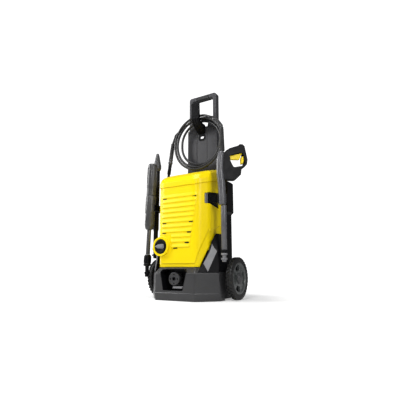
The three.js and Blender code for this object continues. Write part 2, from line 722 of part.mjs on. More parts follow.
const motor = groupAt(0, MOTOR_Y);
const pumpBlock = box(-30, 30, -30, 30, 118, PUMP_TOP);
add('pump_head', join(rod('z', 42, 12, 118, 28), pumpBlock), CAST, motor);
add('wobble_plate', turned('z', [
  [SHAFT_SEAT, 186], [34, 190], [34, 202], [14, 206], [14, 214], [SHAFT_SEAT, 214], [SHAFT_SEAT, 186],
]), STEEL, motor);
const piston = rod('z', PISTON.radius, PUMP_TOP + GAP, PISTON.top, 16);
for (let i = 0; i < PISTON.count; i++) {
  const angle = (2 * Math.PI * i) / PISTON.count + Math.PI / 2;
  const place = [PISTON.circle * Math.cos(angle), PISTON.circle * Math.sin(angle), 0];
  add(`piston_${i + 1}`, piston, STEEL, motor).position.set(...place);
}
add('rotor_shaft', turned('z', [
  [0, 178], [SHAFT_RADIUS, 178], [SHAFT_RADIUS, 252], [30, 256], [30, 356],
  [SHAFT_RADIUS, 360], [SHAFT_RADIUS, 408], [0, 408],
]), STEEL, motor);
add('motor_stator', ring('z', 31, 56, 246, 366, 32), CAST, motor);
add('cooling_fan', turned('z', [
  [SHAFT_SEAT, 374], [46, 374], [50, 392], [20, 396], [SHAFT_SEAT, 396], [SHAFT_SEAT, 374],
], 28), BLACK, motor);

// ---------------------------------------------------------------- wheels

const AXLE_HALF = WHEEL_X + WHEEL_WIDTH / 2;
const axle = rod('x', AXLE_RADIUS, -AXLE_HALF, AXLE_HALF, 20);
add('axle', axle, STEEL).position.set(0, WHEEL_Y, WHEEL_RADIUS);

const RIM_RADIUS = 62;
const RIM_WINDOW = [[30, -13], [49, -20], [52.5, 0], [49, 20], [30, 13]];
const WINDOW_TURNS = [105, 258];
const SHOULDER = 5; // chamfer where the tread meets the side of the tyre

function tyre() {
  const half = WHEEL_WIDTH / 2;
  return turned('x', [
    [RIM_RADIUS, -half], [WHEEL_RADIUS - SHOULDER, -half], [WHEEL_RADIUS, SHOULDER - half],
    [WHEEL_RADIUS, half - SHOULDER], [WHEEL_RADIUS - SHOULDER, half], [RIM_RADIUS, half],
    [RIM_RADIUS, -half],
  ], 40);
}

function rim() {
  const edge = RIM_RADIUS - GAP;
  const disc = turned('x', [
    [AXLE_BORE, -9], [16, -9], [18, -4], [52, -4], [54, -11], [edge, -11],
    [edge, 11], [54, 11], [50, 6], [18, 8], [AXLE_BORE, 8], [AXLE_BORE, -9],
  ], 32);
  const opening = prism('x', rounded(RIM_WINDOW, 3, 2), -20, 20);
  const windows = WINDOW_TURNS.map((turn) =>
    opening.clone().rotateX(THREE.MathUtils.degToRad(turn)));
  return cut(disc, ...windows);
}

const hubCap = turned('x', [
  [0, 12.4], [15, 12.4], [17, 10], [21, 8.4], [21, 12], [16, 16], [0, 17.5],
], 28);

for (const [side, label] of SIDES) {
  const wheel = groupAt(side * WHEEL_X, WHEEL_Y, WHEEL_RADIUS);
  const facing = side > 0 ? (shape) => shape : mirrored;
  add(`tyre_${label}`, facing(tyre()), RUBBER, wheel);
  add(`rim_${label}`, facing(rim()), CHARCOAL, wheel);
  add(`hub_cap_${label}`, facing(hubCap), PALE_GREY, wheel);
}

// ---------------------------------------------------------------- lances on the left

// Solid turned piece from its outer profile, [radius, height] from bottom to top.
function turnedPiece(profile, segments = 20) {
  return turned('z', [[0, profile[0][1]], ...profile, [0, profile.at(-1)[1]]], segments);
}

const vario = groupAt(...VARIO_AXIS);
vario.rotation.y = VARIO_LEAN;
add('vario_coupling', turnedPiece([
  [8, 86], [8, 98], [10.5, 100], [10.5, 105], [8, 107], [8, 130], [16, 132], [16, 140],
  [13.5, 150], [15, 172], [11, 178],
]), BLACK, vario);
add('vario_tube', turnedPiece([[9, 178.4], [9, 283.6]]), CHARCOAL, vario);
add('vario_grip', turnedPiece([
  [16, 284], [19.5, 290], [20, 330], [20.5, 350], [22.5, 358], [22.5, 424], [21, 429.6],
]), CHARCOAL, vario);
add('vario_nozzle_head', turnedPiece([
  [20.5, 430], [20.5, 466], [21.5, 474], [20, 568], [16, 574],
]), BLACK, vario);

const jet = groupAt(...JET_AXIS);
add('jet_coupling', turnedPiece([
  [9, 163], [9, 172], [12, 174], [12, 180], [9, 182], [9, 196], [12.5, 200], [12.5, 210],
]), BLACK, jet);
add('jet_tube', turnedPiece([
  [10, 210.4], [10, 280], [12.5, 290], [12.5, 540], [12.5, 554],
]), BLACK, jet);
add('jet_cone', turnedPiece([
  [12, 554.4], [17, 565], [17, 582], [10, 622], [6, 637], [4, 639],
]), CHARCOAL, jet);

const CLIP = { from: 364, to: 388, plateFrom: 356, plateTo: 414 };
const CRADLE = [[-190, -66], [-145, -66], [-145, 2], [-186, 2], [-188, -34]];

function lanceClip() {
  const side = -COVER_SIDE_HALF - 2.5;
  const plate = box(side - 2.5, side, -56, 2, CLIP.plateFrom, CLIP.plateTo);
  const arm = box(-162, side - 0.5, -40, -8, CLIP.from, CLIP.to);
  const seat = (radius) => rod('z', radius + RUNNING, 340, 440, 24);
  const [jetX, jetY] = JET_AXIS;
  return cut(
    join(plate, arm, prism('z', CRADLE, CLIP.from, CLIP.to)),
    seat(22.5).rotateY(VARIO_LEAN).translate(...VARIO_AXIS, 0),
    seat(13).translate(jetX, jetY, 0),
    box(jetX - 40, jetX - 6, jetY - 9, jetY + 9, 340, 440),
  );
}

add('lance_clip', lanceClip(), CHARCOAL);

// ---------------------------------------------------------------- spray gun on the right

// Its own frame: X runs back and to the right in the plane of the handle loop.
const GUN_TURN = Math.PI / 4;
const gun = groupAt(...GUN_AXIS, 0, GUN_TURN);
const GUN_SPINE = [[-6, 361.4], [-6, 400], [-8, 445], [-13, 500], [-11, 545], [-6, 578]];
const GUN_RADIUS = 14.5;
const LOOP_HALF = 13;
const TRIGGER_HALF = 6.5;

const gunTube = (radius) => bar(GUN_SPINE.map(([g, z]) => [g, 0, z]), radius, 14, 12);

add('gun_bayonet', turnedPiece([
  [8, 144], [8, 150], [12, 152], [12, 158], [8, 160], [8, 168], [12, 170], [12, 176.6],
]), PALE_GREY, gun);
add('gun_barrel', turnedPiece([[11, 177], [11, 359.6]]), PALE_GREY, gun);
add('gun_body', gunTube(GUN_RADIUS), PALE_GREY, gun);

const TRIGGER_POCKET = [[20, 545], [76, 545], [90, 566], [84, 580], [60, 588], [20, 576]];
const TRIGGER = [[24, 545], [66, 547], [71, 556], [73, 565], [80, 572], [77, 577], [64, 571], [24, 560]];
const LOCK = [[74, 531], [81, 531], [84, 545], [82.5, 561], [77, 561], [74, 549]];

function handleLoop() {
  const outline = rounded(
    [
      [-6, 560], [9, 579], [24, 590], [60, 604], [68, 611], [80, 611], [88, 604], [99.5, 548],
      [96, 527], [84, 514], [73, 508], [70, 484], [47, 461], [-4, 459],
    ],
    [0, 4, 6, 6, 4, 5, 5, 10, 8, 5, 4, 6, 6, 0],
    2,
  );
  const finger = rounded(
    [[25, 558], [67, 573], [79, 573], [85, 556], [86, 530], [78, 521], [40, 512.5], [27, 538]],
    [3, 3, 3, 2, 5, 5, 6, 6],
    2,
  );
  const pocketHalf = TRIGGER_HALF + 1;
  return cut(
    prism('y', outline, -LOOP_HALF, LOOP_HALF),
    prism('y', finger, -30, 30),
    prism('y', TRIGGER_POCKET, -pocketHalf, pocketHalf),
    gunTube(GUN_RADIUS + GAP * 1.5),
  );
}

add('gun_handle', handleLoop(), BLACK, gun);
add('gun_trigger', prism('y', TRIGGER, -TRIGGER_HALF, TRIGGER_HALF), YELLOW, gun);
add('trigger_lock', prism('y', LOCK, -9, 9), YELLOW, gun);

const HOLSTER = { from: 368, to: 404 };
const GUIDE = [[-76.5, 371], [-57.6, 371], [-57.6, 416], [-76.5, 411]];

function gunHolster() {
  const [x, y] = GUN_AXIS;
  const seat = prism('x', inset(NOTCH.slice(1, 5), 0.6), 104, COVER_SIDE_HALF - 3);
  const arm = box(COVER_SIDE_HALF - 6, 162, -50, -30, HOLSTER.from + 6, HOLSTER.to - 6);
  const onGun = (shape) => toGeometry(shape).rotateZ(GUN_TURN).translate(x, y, 0);
  const cradle = onGun(box(-25, 13, -5, 21, HOLSTER.from, HOLSTER.to));
  return cut(join(seat, arm, cradle), onGun(gunTube(GUN_RADIUS + RUNNING)));
}

add('gun_holster', gunHolster(), CHARCOAL);
add('holster_guide', prism('x', inset(GUIDE, 0.5), 100.5, 112), PALE_GREY);

// ---------------------------------------------------------------- hose

add('hose_coil', turned('y', [
  [COIL_INNER, -COIL_HALF_DEPTH], [COIL_OUTER, -COIL_HALF_DEPTH], [COIL_OUTER, COIL_HALF_DEPTH],
  [COIL_INNER, COIL_HALF_DEPTH], [COIL_INNER, -COIL_HALF_DEPTH],
], 48), RUBBER).position.set(COIL_X, COIL_Y, COIL_Z);

const LEFT_TAIL = [[-126, 60, 746.5], [-133, 60, 734], [-139.6, 60, 720.5], [-145.4, 60, 706.8]];
const RIGHT_TAIL = [
  [76, 31, 782], [100, 16, 766], [125, -4, 744], [147, -26, 720], [164, -44, 700], [172.2, -51, 690],
  [173.5, -51.5, 681.6],
];
add('hose_left_tail', bar(LEFT_TAIL, HOSE_RADIUS, 3), RUBBER);
add('hose_right_tail', bar(RIGHT_TAIL, HOSE_RADIUS, 10), RUBBER);

// The free end: bend sleeve, collar and coupling pin on one leaning axis.
const PLUG_TOP = new THREE.Vector3(-145.8, 60, 705);
const PLUG_LEAN = Math.atan2(-24, -165);
const plug = new THREE.Group();
plug.position.copy(PLUG_TOP);
plug.rotation.y = PLUG_LEAN;
washer.add(plug);
const sleeve = [[7, 0], [10, 4], [9.5, 76]];
const collar = [[9, 76.4], [11, 80], [9, 86], [11, 92], [11, 98], [8, 102]];
const pin = [[8.5, 102.4], [8.5, 150], [6, 152], [6, 184], [4, 186]];
add('hose_sleeve', turnedPiece(sleeve, 16), BLACK, plug);
add('hose_collar', turnedPiece(collar, 16), CHARCOAL, plug);
add('hose_plug', turnedPiece(pin, 16), BLACK, plug);

// The other end leaves the top of the gun.
const RELIEF_X = -4;
const relief = turnedPiece([[11, 580.8], [11, 588], [8, 680.3]], 16).translate(RELIEF_X, 0, 0);
add('hose_strain_relief', relief, RUBBER, gun);

export default washer;
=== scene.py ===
# Looks of the upright pressure washer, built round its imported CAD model.
import json
import math

import bmesh
import bpy
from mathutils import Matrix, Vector


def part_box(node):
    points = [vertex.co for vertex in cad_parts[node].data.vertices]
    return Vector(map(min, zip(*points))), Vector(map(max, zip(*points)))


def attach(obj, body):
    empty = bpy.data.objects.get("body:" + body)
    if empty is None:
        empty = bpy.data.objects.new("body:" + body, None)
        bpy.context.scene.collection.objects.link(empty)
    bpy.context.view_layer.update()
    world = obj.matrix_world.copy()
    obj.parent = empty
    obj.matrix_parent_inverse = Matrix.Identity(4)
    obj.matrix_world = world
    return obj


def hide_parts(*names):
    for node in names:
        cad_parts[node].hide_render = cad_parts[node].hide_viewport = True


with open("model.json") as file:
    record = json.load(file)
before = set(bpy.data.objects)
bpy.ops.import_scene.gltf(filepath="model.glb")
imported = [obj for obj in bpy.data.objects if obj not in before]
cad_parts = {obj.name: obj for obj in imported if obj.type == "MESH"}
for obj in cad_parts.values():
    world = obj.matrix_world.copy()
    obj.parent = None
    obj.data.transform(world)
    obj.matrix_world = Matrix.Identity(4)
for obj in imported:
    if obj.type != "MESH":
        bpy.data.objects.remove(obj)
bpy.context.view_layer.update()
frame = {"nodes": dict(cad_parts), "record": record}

MM = 0.001
TAU = 2 * math.pi
UP = Vector((0, 0, 1))

BODY_OF = {
    node: body
    for body, nodes in frame["record"]["behaviour"]["bodies"].items()
    for node in nodes
}


def mm(*values):
    return Vector([value * MM for value in values])


def middle(node):
    low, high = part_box(node)
    return (low + high) / 2


# ---------------------------------------------------------------- camera

CAMERA_PLACE = mm(784, -1237.5, 118)
CAMERA_TILT = math.radians(101.15)
CAMERA_TURN = math.radians(31)
CAMERA_LENS = 31.5


def make_camera():
    data = bpy.data.cameras.new("view")
    data.lens = CAMERA_LENS
    data.sensor_width = 36
    data.clip_start = 0.02
    camera = bpy.data.objects.new("view", data)
    bpy.context.scene.collection.objects.link(camera)
    camera.location = CAMERA_PLACE
    camera.rotation_euler = (CAMERA_TILT, 0, CAMERA_TURN)
    bpy.context.scene.camera = camera


make_camera()


# ---------------------------------------------------------------- materials

def shader(name, slot, color, roughness, **sockets):
    """A new node material; the sockets that stay the same all over are set on the shader itself."""
    material = bpy.data.materials.new(name)
    material.use_nodes = True
    nodes, links = material.node_tree.nodes, material.node_tree.links
    surface = nodes["Principled BSDF"]
    surface.inputs["Base Color"].default_value = (*color, 1)
    surface.inputs["Roughness"].default_value = roughness
    for socket, value in sockets.items():
        surface.inputs[socket.replace("_", " ")].default_value = value
    place = nodes.new("ShaderNodeTexCoord")
    material["slot"] = slot
    return material, nodes, links, surface, place.outputs["Object"]


def noise_map(nodes, links, place, scale, detail=3.0, stretch=None):
    if stretch:
        mapping = nodes.new("ShaderNodeMapping")
        mapping.inputs["Scale"].default_value = stretch
        links.new(place, mapping.inputs["Vector"])
        place = mapping.outputs["Vector"]
    texture = nodes.new("ShaderNodeTexNoise")
    texture.inputs["Scale"].default_value = scale
    texture.inputs["Detail"].default_value = detail
    links.new(place, texture.inputs["Vector"])
    return texture.outputs["Fac"]


def between(nodes, links, factor, low, high, target, start=0.3, end=0.7):
    """Spreads a 0 to 1 texture over a range of values or colours and feeds it to a shader socket."""
    ramp = nodes.new("ShaderNodeMapRange")
    ramp.inputs["From Min"].default_value = start
    ramp.inputs["From Max"].default_value = end
    links.new(factor, ramp.inputs["Value"])
    if isinstance(low, tuple):
        mix = nodes.new("ShaderNodeMix")
        mix.data_type = "RGBA"
        mix.inputs["A"].default_value = (*low, 1)
        mix.inputs["B"].default_value = (*high, 1)
        links.new(ramp.outputs["Result"], mix.inputs["Factor"])
        links.new(mix.outputs["Result"], target)
    else:
        ramp.inputs["To Min"].default_value = low
        ramp.inputs["To Max"].default_value = high
        links.new(ramp.outputs["Result"], target)


def bump(nodes, links, surface, height, depth):
    relief = nodes.new("ShaderNodeBump")
    relief.inputs["Distance"].default_value = depth
    relief.inputs["Strength"].default_value = 1.0
    links.new(height, relief.inputs["Height"])
    links.new(relief.outputs["Normal"], surface.inputs["Normal"])


def shaded(color, share):
    return tuple(channel * share for channel in color)


def moulded(name, slot, color, roughness, grain=0.00004, grain_scale=1800, spread=0.12, patch=0.05,
            **sockets):
    """Injection-moulded plastic: fine spark grain, cloudy colour and patchy gloss."""
    material, nodes, links, surface, place = shader(name, slot, color, roughness, **sockets)
    cloud = noise_map(nodes, links, place, 14, 4)
    between(nodes, links, cloud, shaded(color, 1 - spread), shaded(color, 1 + spread),
            surface.inputs["Base Color"])
    patches = noise_map(nodes, links, place, 45, 5)
    between(nodes, links, patches, roughness - patch, roughness + patch, surface.inputs["Roughness"])
    bump(nodes, links, surface, noise_map(nodes, links, place, grain_scale, 2), grain)
    return material


def rubber(name, slot, color, roughness, depth, sheen=0.15):
    """Rubber: dull, dusty in patches, with a soft pebbled skin."""
    material, nodes, links, surface, place = shader(name, slot, color, roughness)
    surface.inputs["Sheen Weight"].default_value = sheen
    surface.inputs["Sheen Roughness"].default_value = 0.5
    dust = noise_map(nodes, links, place, 60, 5)
    between(nodes, links, dust, color, shaded(color, 1.6), surface.inputs["Base Color"], 0.45, 0.75)
    between(nodes, links, noise_map(nodes, links, place, 25), roughness - 0.08, roughness + 0.08,
            surface.inputs["Roughness"])
    bump(nodes, links, surface, noise_map(nodes, links, place, 900, 3), depth)
    return material


def machined(name, slot, color, roughness, axis):
    """Turned or brushed metal: fine lines round the axis, darker in the grooves."""
    material, nodes, links, surface, place = shader(name, slot, color, roughness)
    surface.inputs["Metallic"].default_value = 1.0
    stretch = tuple(60.0 if i == axis else 1.0 for i in range(3))
    lines = noise_map(nodes, links, place, 40, 4, stretch)
    between(nodes, links, lines, shaded(color, 0.72), color, surface.inputs["Base Color"])
    between(nodes, links, lines, roughness - 0.08, roughness + 0.12, surface.inputs["Roughness"])
    bump(nodes, links, surface, lines, 0.00003)
    return material


def cast(name, slot, color):
    """Die-cast alloy: coarse skin with dull and bright patches."""
    material, nodes, links, surface, place = shader(name, slot, color, 0.5)
    surface.inputs["Metallic"].default_value = 1.0
    between(nodes, links, noise_map(nodes, links, place, 35, 5), shaded(color, 0.7), color,
            surface.inputs["Base Color"])
    between(nodes, links, noise_map(nodes, links, place, 80, 4), 0.38, 0.65, surface.inputs["Roughness"])
    bump(nodes, links, surface, noise_map(nodes, links, place, 700, 4), 0.00012)
    return material


YELLOW = moulded("cover_plastic", "cover_yellow", (0.93, 0.70, 0.0), 0.3, 0.000012, 1400, 0.015,
                 0.015, Specular_IOR_Level=0.26)
BASE = moulded("base_plastic", "base_grey", (0.036, 0.036, 0.038), 0.34, 0.00005)
PANEL = moulded("panel_plastic", "panel_grey", (0.040, 0.040, 0.045), 0.40, 0.00005)
PALE = moulded("pale_plastic", "pale_grey", (0.2, 0.2, 0.21), 0.42, 0.00004)
BLACK = moulded("black_plastic", "black_plastic", (0.004, 0.004, 0.005), 0.40, 0.00004,
                Specular_IOR_Level=0.13)
CHARCOAL = moulded("charcoal_plastic", "charcoal_plastic", (0.052, 0.052, 0.055), 0.34, 0.00003)
GUN_GREY = moulded("gun_plastic", "pale_grey", (0.10, 0.10, 0.108), 0.26, 0.00002)
RIM_GREY = moulded("rim_plastic", "charcoal_plastic", (0.085, 0.09, 0.09), 0.26, 0.00002)
# Painted shade and reflection: a darker, green-tinted copy of the rim's grey for the dished rim panels.
RIM_PANEL_SHADE_REFLECTION = moulded("rim_panel_shade_reflection_plastic", "charcoal_plastic", (0.014, 0.020, 0.018), 0.3, 0.00002)
SOFT_GRIP = rubber("grip_rubber", "rubber", (0.010, 0.010, 0.011), 0.6, 0.00012)
HOSE = rubber("hose_rubber", "rubber", (0.008, 0.008, 0.009), 0.36, 0.00003, 0.08)
TYRE = rubber("tyre_rubber", "tyre_black", (0.004, 0.004, 0.004), 0.5, 0.0001, 0.02)
STEEL_X = machined("axle_steel", "steel", (0.62, 0.62, 0.64), 0.3, 0)
STEEL_Z = machined("shaft_steel", "steel", (0.62, 0.62, 0.64), 0.3, 2)
CAST = cast("pump_alloy", "cast_metal", (0.55, 0.55, 0.57))


# ---------------------------------------------------------------- mesh helpers

def piece(name, mesh, material, body, replaced=(), smooth_angle=40):
    """Adds a mesh as a visible piece of the object, riding on a CAD body."""
    data = bpy.data.meshes.new(name)
    bmesh.ops.recalc_face_normals(mesh, faces=mesh.faces)
    mesh.to_mesh(data)
    mesh.free()
    obj = bpy.data.objects.new(name, data)
    bpy.context.scene.collection.objects.link(obj)
    data.materials.append(material)
    data.set_sharp_from_angle(angle=math.radians(smooth_angle))
    data.polygons.foreach_set("use_smooth", [True] * len(data.polygons))
    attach(obj, body)
    if replaced:
        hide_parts(*replaced)
    return obj


def soften(obj, width, segments=2, angle=28):
    """Rounds a piece's hard edges the way a mould leaves them."""
    modifier = obj.modifiers.new("edges", "BEVEL")
    modifier.width = width
    modifier.segments = segments
    modifier.limit_method = "ANGLE"
    modifier.angle_limit = math.radians(angle)
    modifier.use_clamp_overlap = False
    modifier.harden_normals = False
    normals = obj.modifiers.new("normals", "WEIGHTED_NORMAL")
    normals.keep_sharp = True
    return obj


def refined(node, material, width=0.9, segments=2, angle=28):
    """A CAD node with its triangles merged into clean faces and its edges rounded."""
    source = bmesh.new()
    source.from_mesh(frame["nodes"][node].data)
    bmesh.ops.remove_doubles(source, verts=source.verts, dist=0.01 * MM)
    bmesh.ops.dissolve_limit(source, angle_limit=math.radians(0.5), verts=source.verts, edges=source.edges)
    obj = piece(node + "_shell", source, material, BODY_OF[node], [node], angle)
    for edge in obj.data.edges:
        edge.use_edge_sharp = False
    return soften(obj, width * MM, segments, angle)


def finish_node(node, material):
    """A CAD node that stays as it is, with a finished material."""
    obj = frame["nodes"][node]
    obj.data.materials.clear()
    obj.data.materials.append(material)


def lathe(profile, place, direction, segments=40, mesh=None):
    """Solid of revolution: the profile is a list of (radius, distance along the direction), in mm."""
    mesh = mesh or bmesh.new()
    turn = UP.rotation_difference(Vector(direction)).to_matrix()
    rings = []
    for radius, along in profile:
        if rings and (radius, along) == profile[0]:
            rings.append(rings[0])
            continue
        if radius < 1e-6:
            rings.append([mesh.verts.new(place + turn @ mm(0, 0, along))])
            continue
        rings.append([
            mesh.verts.new(place + turn @ mm(radius * math.cos(a), radius * math.sin(a), along))
            for a in (TAU * i / segments for i in range(segments))
        ])
    for lower, upper in zip(rings, rings[1:]):
        for i in range(segments):
            j = (i + 1) % segments
            below = [lower[i % len(lower)], lower[j % len(lower)]]
            above = [upper[j % len(upper)], upper[i % len(upper)]]
            corners = list(dict.fromkeys(below + above))
            if len(corners) > 2:
                mesh.faces.new(corners)
    return mesh


def slab(outline, near, far, axes, mesh=None):
    """Flat plate: an outline in mm in the plane of two axes, between two distances on the third."""
    mesh = mesh or bmesh.new()
    third = 3 - axes[0] - axes[1]

    def vertex(u, v, depth):
        point = [0, 0, 0]
        point[axes[0]], point[axes[1]], point[third] = u, v, depth
        return mesh.verts.new(mm(*point))

    front = [vertex(u, v, near) for u, v in outline]
    back = [vertex(u, v, far) for u, v in outline]
    mesh.faces.new(front)
    mesh.faces.new(back[::-1])
    for i in range(len(outline)):
        j = (i + 1) % len(outline)
        mesh.faces.new([front[j], front[i], back[i], back[j]])
    return mesh


def arc(centre, radius, start, end, steps):
    """Points on a circular arc, angles in degrees."""
    angles = [math.radians(start + (end - start) * i / steps) for i in range(steps + 1)]
    return [(centre[0] + radius * math.cos(a), centre[1] + radius * math.sin(a)) for a in angles]


def smooth_route(points, steps):
    """Evenly curved route through the given points (Catmull-Rom)."""
    ends = [2 * points[0] - points[1], *points, 2 * points[-1] - points[-2]]
    route = []
    for a, b, c, d in zip(ends, ends[1:], ends[2:], ends[3:]):
        for i in range(steps):
            t = i / steps
            route.append(0.5 * (2 * b + (c - a) * t + (2 * a - 5 * b + 4 * c - d) * t * t
                                + (3 * b - a - 3 * c + d) * t ** 3))
    return [*route, points[-1]]


def tube(route, radii, sides, side):
    """Closed tube along a route, with a radius in mm for each point and a direction to start its rings."""
    mesh = bmesh.new()
    rings = []
    for i, point in enumerate(route):
        ahead = (route[min(i + 1, len(route) - 1)] - route[max(i - 1, 0)]).normalized()
        side = (side - ahead * side.dot(ahead)).normalized()
        other = ahead.cross(side)
        rings.append([
            mesh.verts.new(point + (side * math.cos(a) + other * math.sin(a)) * radii[i] * MM)
            for a in (TAU * k / sides for k in range(sides))
        ])
    for lower, upper in zip(rings, rings[1:]):
        for k in range(sides):
            j = (k + 1) % sides
            mesh.faces.new([lower[k], lower[j], upper[j], upper[k]])
    mesh.faces.new(rings[0][::-1])
    mesh.faces.new(rings[-1])
    return mesh


# ---------------------------------------------------------------- hose

HOSE_RADIUS = 5.5
RELIEF_FOOT = mm(173.47, -51.53, 0)
HOSE_EXIT = RELIEF_FOOT + mm(0, 0, 680)
# The route from the strain relief to the hook, and from the coil to the free end.
RIGHT_TAIL = [mm(*point) for point in (
    (173.5, -51.5, 681.6), (172.2, -51, 690), (164, -44, 700), (147, -26, 720), (125, -4, 744),
    (100, 16, 766),
)]
LEFT_TAIL = [mm(*point) for point in (
    (-126, 60, 746.5), (-133, 60, 734), (-139.6, 60, 720.5), (-145.8, 60, 705),
)]
# How far out and how far back the strands lie, in mm, as the coil turns by an angle in degrees.
COIL_LAY = [
    (54, 125, 34), (90, 124.5, 45), (180, 124, 49), (270, 125, 49), (360, 124, 49), (450, 115, 53),
    (540, 113, 52.5), (630, 114, 54), (720, 113, 54), (810, 102, 61), (900, 91, 58), (990, 101, 62),
    (1080, 115, 66), (1125, 117, 67), (1170, 118, 67), (1215, 125, 62),
]
COIL_STEP = 15


def coil_route():
    centre = middle("hose_coil")
    points = []
    for (angle, radius, back), (next_angle, next_radius, next_back) in zip(COIL_LAY, COIL_LAY[1:]):
        steps = round((next_angle - angle) / COIL_STEP)
        for i in range(steps):
            share = i / steps
            turn = math.radians(angle + (next_angle - angle) * share)
            out = (radius + (next_radius - radius) * share) * MM
            depth = (back + (next_back - back) * share) * MM
            points.append(Vector((centre.x + out * math.cos(turn), depth, centre.z + out * math.sin(turn))))
    return points


def make_hose():
    route = smooth_route([HOSE_EXIT, *RIGHT_TAIL, *coil_route(), *LEFT_TAIL], 3)
    data = bpy.data.curves.new("hose", "CURVE")
    data.dimensions = "3D"
    data.bevel_depth = HOSE_RADIUS * MM
    data.bevel_resolution = 5
    data.use_fill_caps = True
    data.materials.append(HOSE)
    line = data.splines.new("POLY")
    line.points.add(len(route) - 1)
    for point, place in zip(line.points, route):
        point.co = (*place, 1)
    line.use_smooth = True
    hose = bpy.data.objects.new("hose", data)
    bpy.context.scene.collection.objects.link(hose)
    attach(hose, "housing")
    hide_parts("hose_coil", "hose_left_tail", "hose_right_tail")
    return hose, sum((b - a).length for a, b in zip(route, route[1:]))


PLUG_PLACE = LEFT_TAIL[-1]
PLUG_AXIS = Vector((-24, 0, -165)).normalized()


def ribbed(start, end, count, low, high):
    """Profile of evenly spaced ribs; low and high are radii at the start and at the end."""
    profile = []
    pitch = (end - start) / count
    for i in range(count):
        share = i / max(count - 1, 1)
        valley = low[0] + (low[1] - low[0]) * share
        crest = high[0] + (high[1] - high[0]) * share
        along = start + i * pitch
        profile += [(valley, along), (crest, along + 0.15 * pitch), (crest, along + 0.6 * pitch),
                    (valley, along + 0.75 * pitch)]
    return profile


def make_hose_end():
    sleeve = lathe([(0, 0), (6.6, 0), *ribbed(1, 56, 14, (7.4, 8.8), (8.6, 9.9)), (9.4, 58), (9.6, 74),
                    (9.2, 75.8), (0, 75.8)], PLUG_PLACE, PLUG_AXIS, 32)
    collar = lathe([(0, 76.4), (8.6, 76.4), (9.4, 77.4), (10.9, 79.6), (10.9, 81.6), (9, 84.6), (8.8, 88),
                    (10.8, 90.6), (10.9, 97), (9.6, 100), (8.2, 101.8), (0, 101.8)],
                   PLUG_PLACE, PLUG_AXIS, 32)
    pin = lathe([(0, 102.4), (8.1, 102.4), (8.5, 103.4), (8.5, 116), (7.6, 117), (7.6, 121), (8.5, 122),
                 (8.5, 148.5), (7.6, 150), (6, 151.6), (6, 164), (5, 165), (5, 168), (6, 169), (6, 182.5),
                 (4.2, 185.6), (2, 186), (2, 176), (0, 176)], PLUG_PLACE, PLUG_AXIS, 32)
    pieces = [
        piece("hose_end_sleeve", sleeve, SOFT_GRIP, "housing", ["hose_sleeve"]),
        piece("hose_end_collar", collar, CHARCOAL, "housing", ["hose_collar"]),
        piece("hose_end_pin", pin, BLACK, "housing", ["hose_plug"]),
    ]
    relief = lathe([(0, 580.8), (10.6, 580.8), (11, 582), (11, 590),
                    *ribbed(592, 672, 16, (8.8, 6.9), (10.8, 8.2)), (7.4, 674), (7.2, 680), (0, 680)],
                   RELIEF_FOOT, UP, 32)
    piece("strain_relief", relief, SOFT_GRIP, "housing", ["hose_strain_relief"])
    return pieces


hose, hose_length = make_hose()
make_hose_end()


# ---------------------------------------------------------------- shells

def skinned(node, material, voxel, rounds):
    """A CAD node with an even skin, smoothed so that each edge is rounded as in a mould."""
    source = bmesh.new()
    source.from_mesh(frame["nodes"][node].data)
    obj = piece(node + "_shell", source, material, BODY_OF[node], [node], 180)
    skin = obj.modifiers.new("skin", "REMESH")
    skin.mode = "VOXEL"
    skin.voxel_size = voxel * MM
    skin.use_smooth_shade = True
    smooth = obj.modifiers.new("round", "SMOOTH")
    smooth.factor = 0.5
    smooth.iterations = rounds
    return obj


def make_shells():
    skinned("front_cover", YELLOW, 1.2, 2)
    refined("base_tub", BASE, 1.6, 3)
    refined("top_cap", YELLOW, 1.5, 3, 18)
    refined("cheek_left", BLACK, 1.2)
    refined("cheek_right", BLACK, 1.2)
    refined("rear_cover", BLACK, 1.4, 3)
    refined("tower", PANEL, 1.2, 2)
    refined("telescopic_handle", PANEL, 2.4, 3)
    refined("handle_grip", SOFT_GRIP, 0.8, 2)
    refined("hose_hook", BLACK, 1.6, 3)
    refined("hook_tongue", BLACK, 1.4, 3)
    refined("lance_clip", BLACK, 0.8, 2)
    refined("gun_holster", BLACK, 0.8, 2)
    refined("holster_guide", PALE, 0.8, 2)
    refined("outlet_bracket", BLACK, 0.8, 2)
    refined("outlet_release_button", PALE, 1.0, 2)
    refined("water_inlet", CHARCOAL, 0.6, 2)
    skinned("gun_handle", BLACK, 1.1, 5)
    refined("gun_trigger", YELLOW, 1.4, 3)
    refined("trigger_lock", YELLOW, 1.2, 3)
    for side in ("left", "right"):
        refined(f"rim_{side}", RIM_GREY, 0.9, 2)


def finish_hidden_nodes():
    for node in ("foot_pad_left", "foot_pad_right"):
        finish_node(node, SOFT_GRIP)
    for node in ("pump_head", "motor_stator"):
        finish_node(node, CAST)
    for node in ("wobble_plate", "rotor_shaft", "piston_1", "piston_2", "piston_3"):
        finish_node(node, STEEL_Z)
    finish_node("axle", STEEL_X)
    finish_node("louvre_backing", BLACK)
    finish_node("cooling_fan", BLACK)
    finish_node("switch_box", CHARCOAL)
    finish_node("inlet_filter", PALE)


make_shells()
finish_hidden_nodes()


# ---------------------------------------------------------------- foot, switch and outlet

def hoop(outer, inner, near, far, axes, mesh=None):
    """Flat frame between two outlines with as many points each, in mm."""
    mesh = mesh or bmesh.new()
    third = 3 - axes[0] - axes[1]

    def loop(outline, depth):
        corners = []
        for u, v in outline:
            point = [0, 0, 0]
            point[axes[0]], point[axes[1]], point[third] = u, v, depth
            corners.append(mesh.verts.new(mm(*point)))
        return corners

    loops = [loop(outer, near), loop(outer, far), loop(inner, far), loop(inner, near)]
    for first, second in zip(loops, [*loops[1:], loops[0]]):
        for i in range(len(outer)):
            j = (i + 1) % len(outer)
            mesh.faces.new([first[i], first[j], second[j], second[i]])
    return mesh


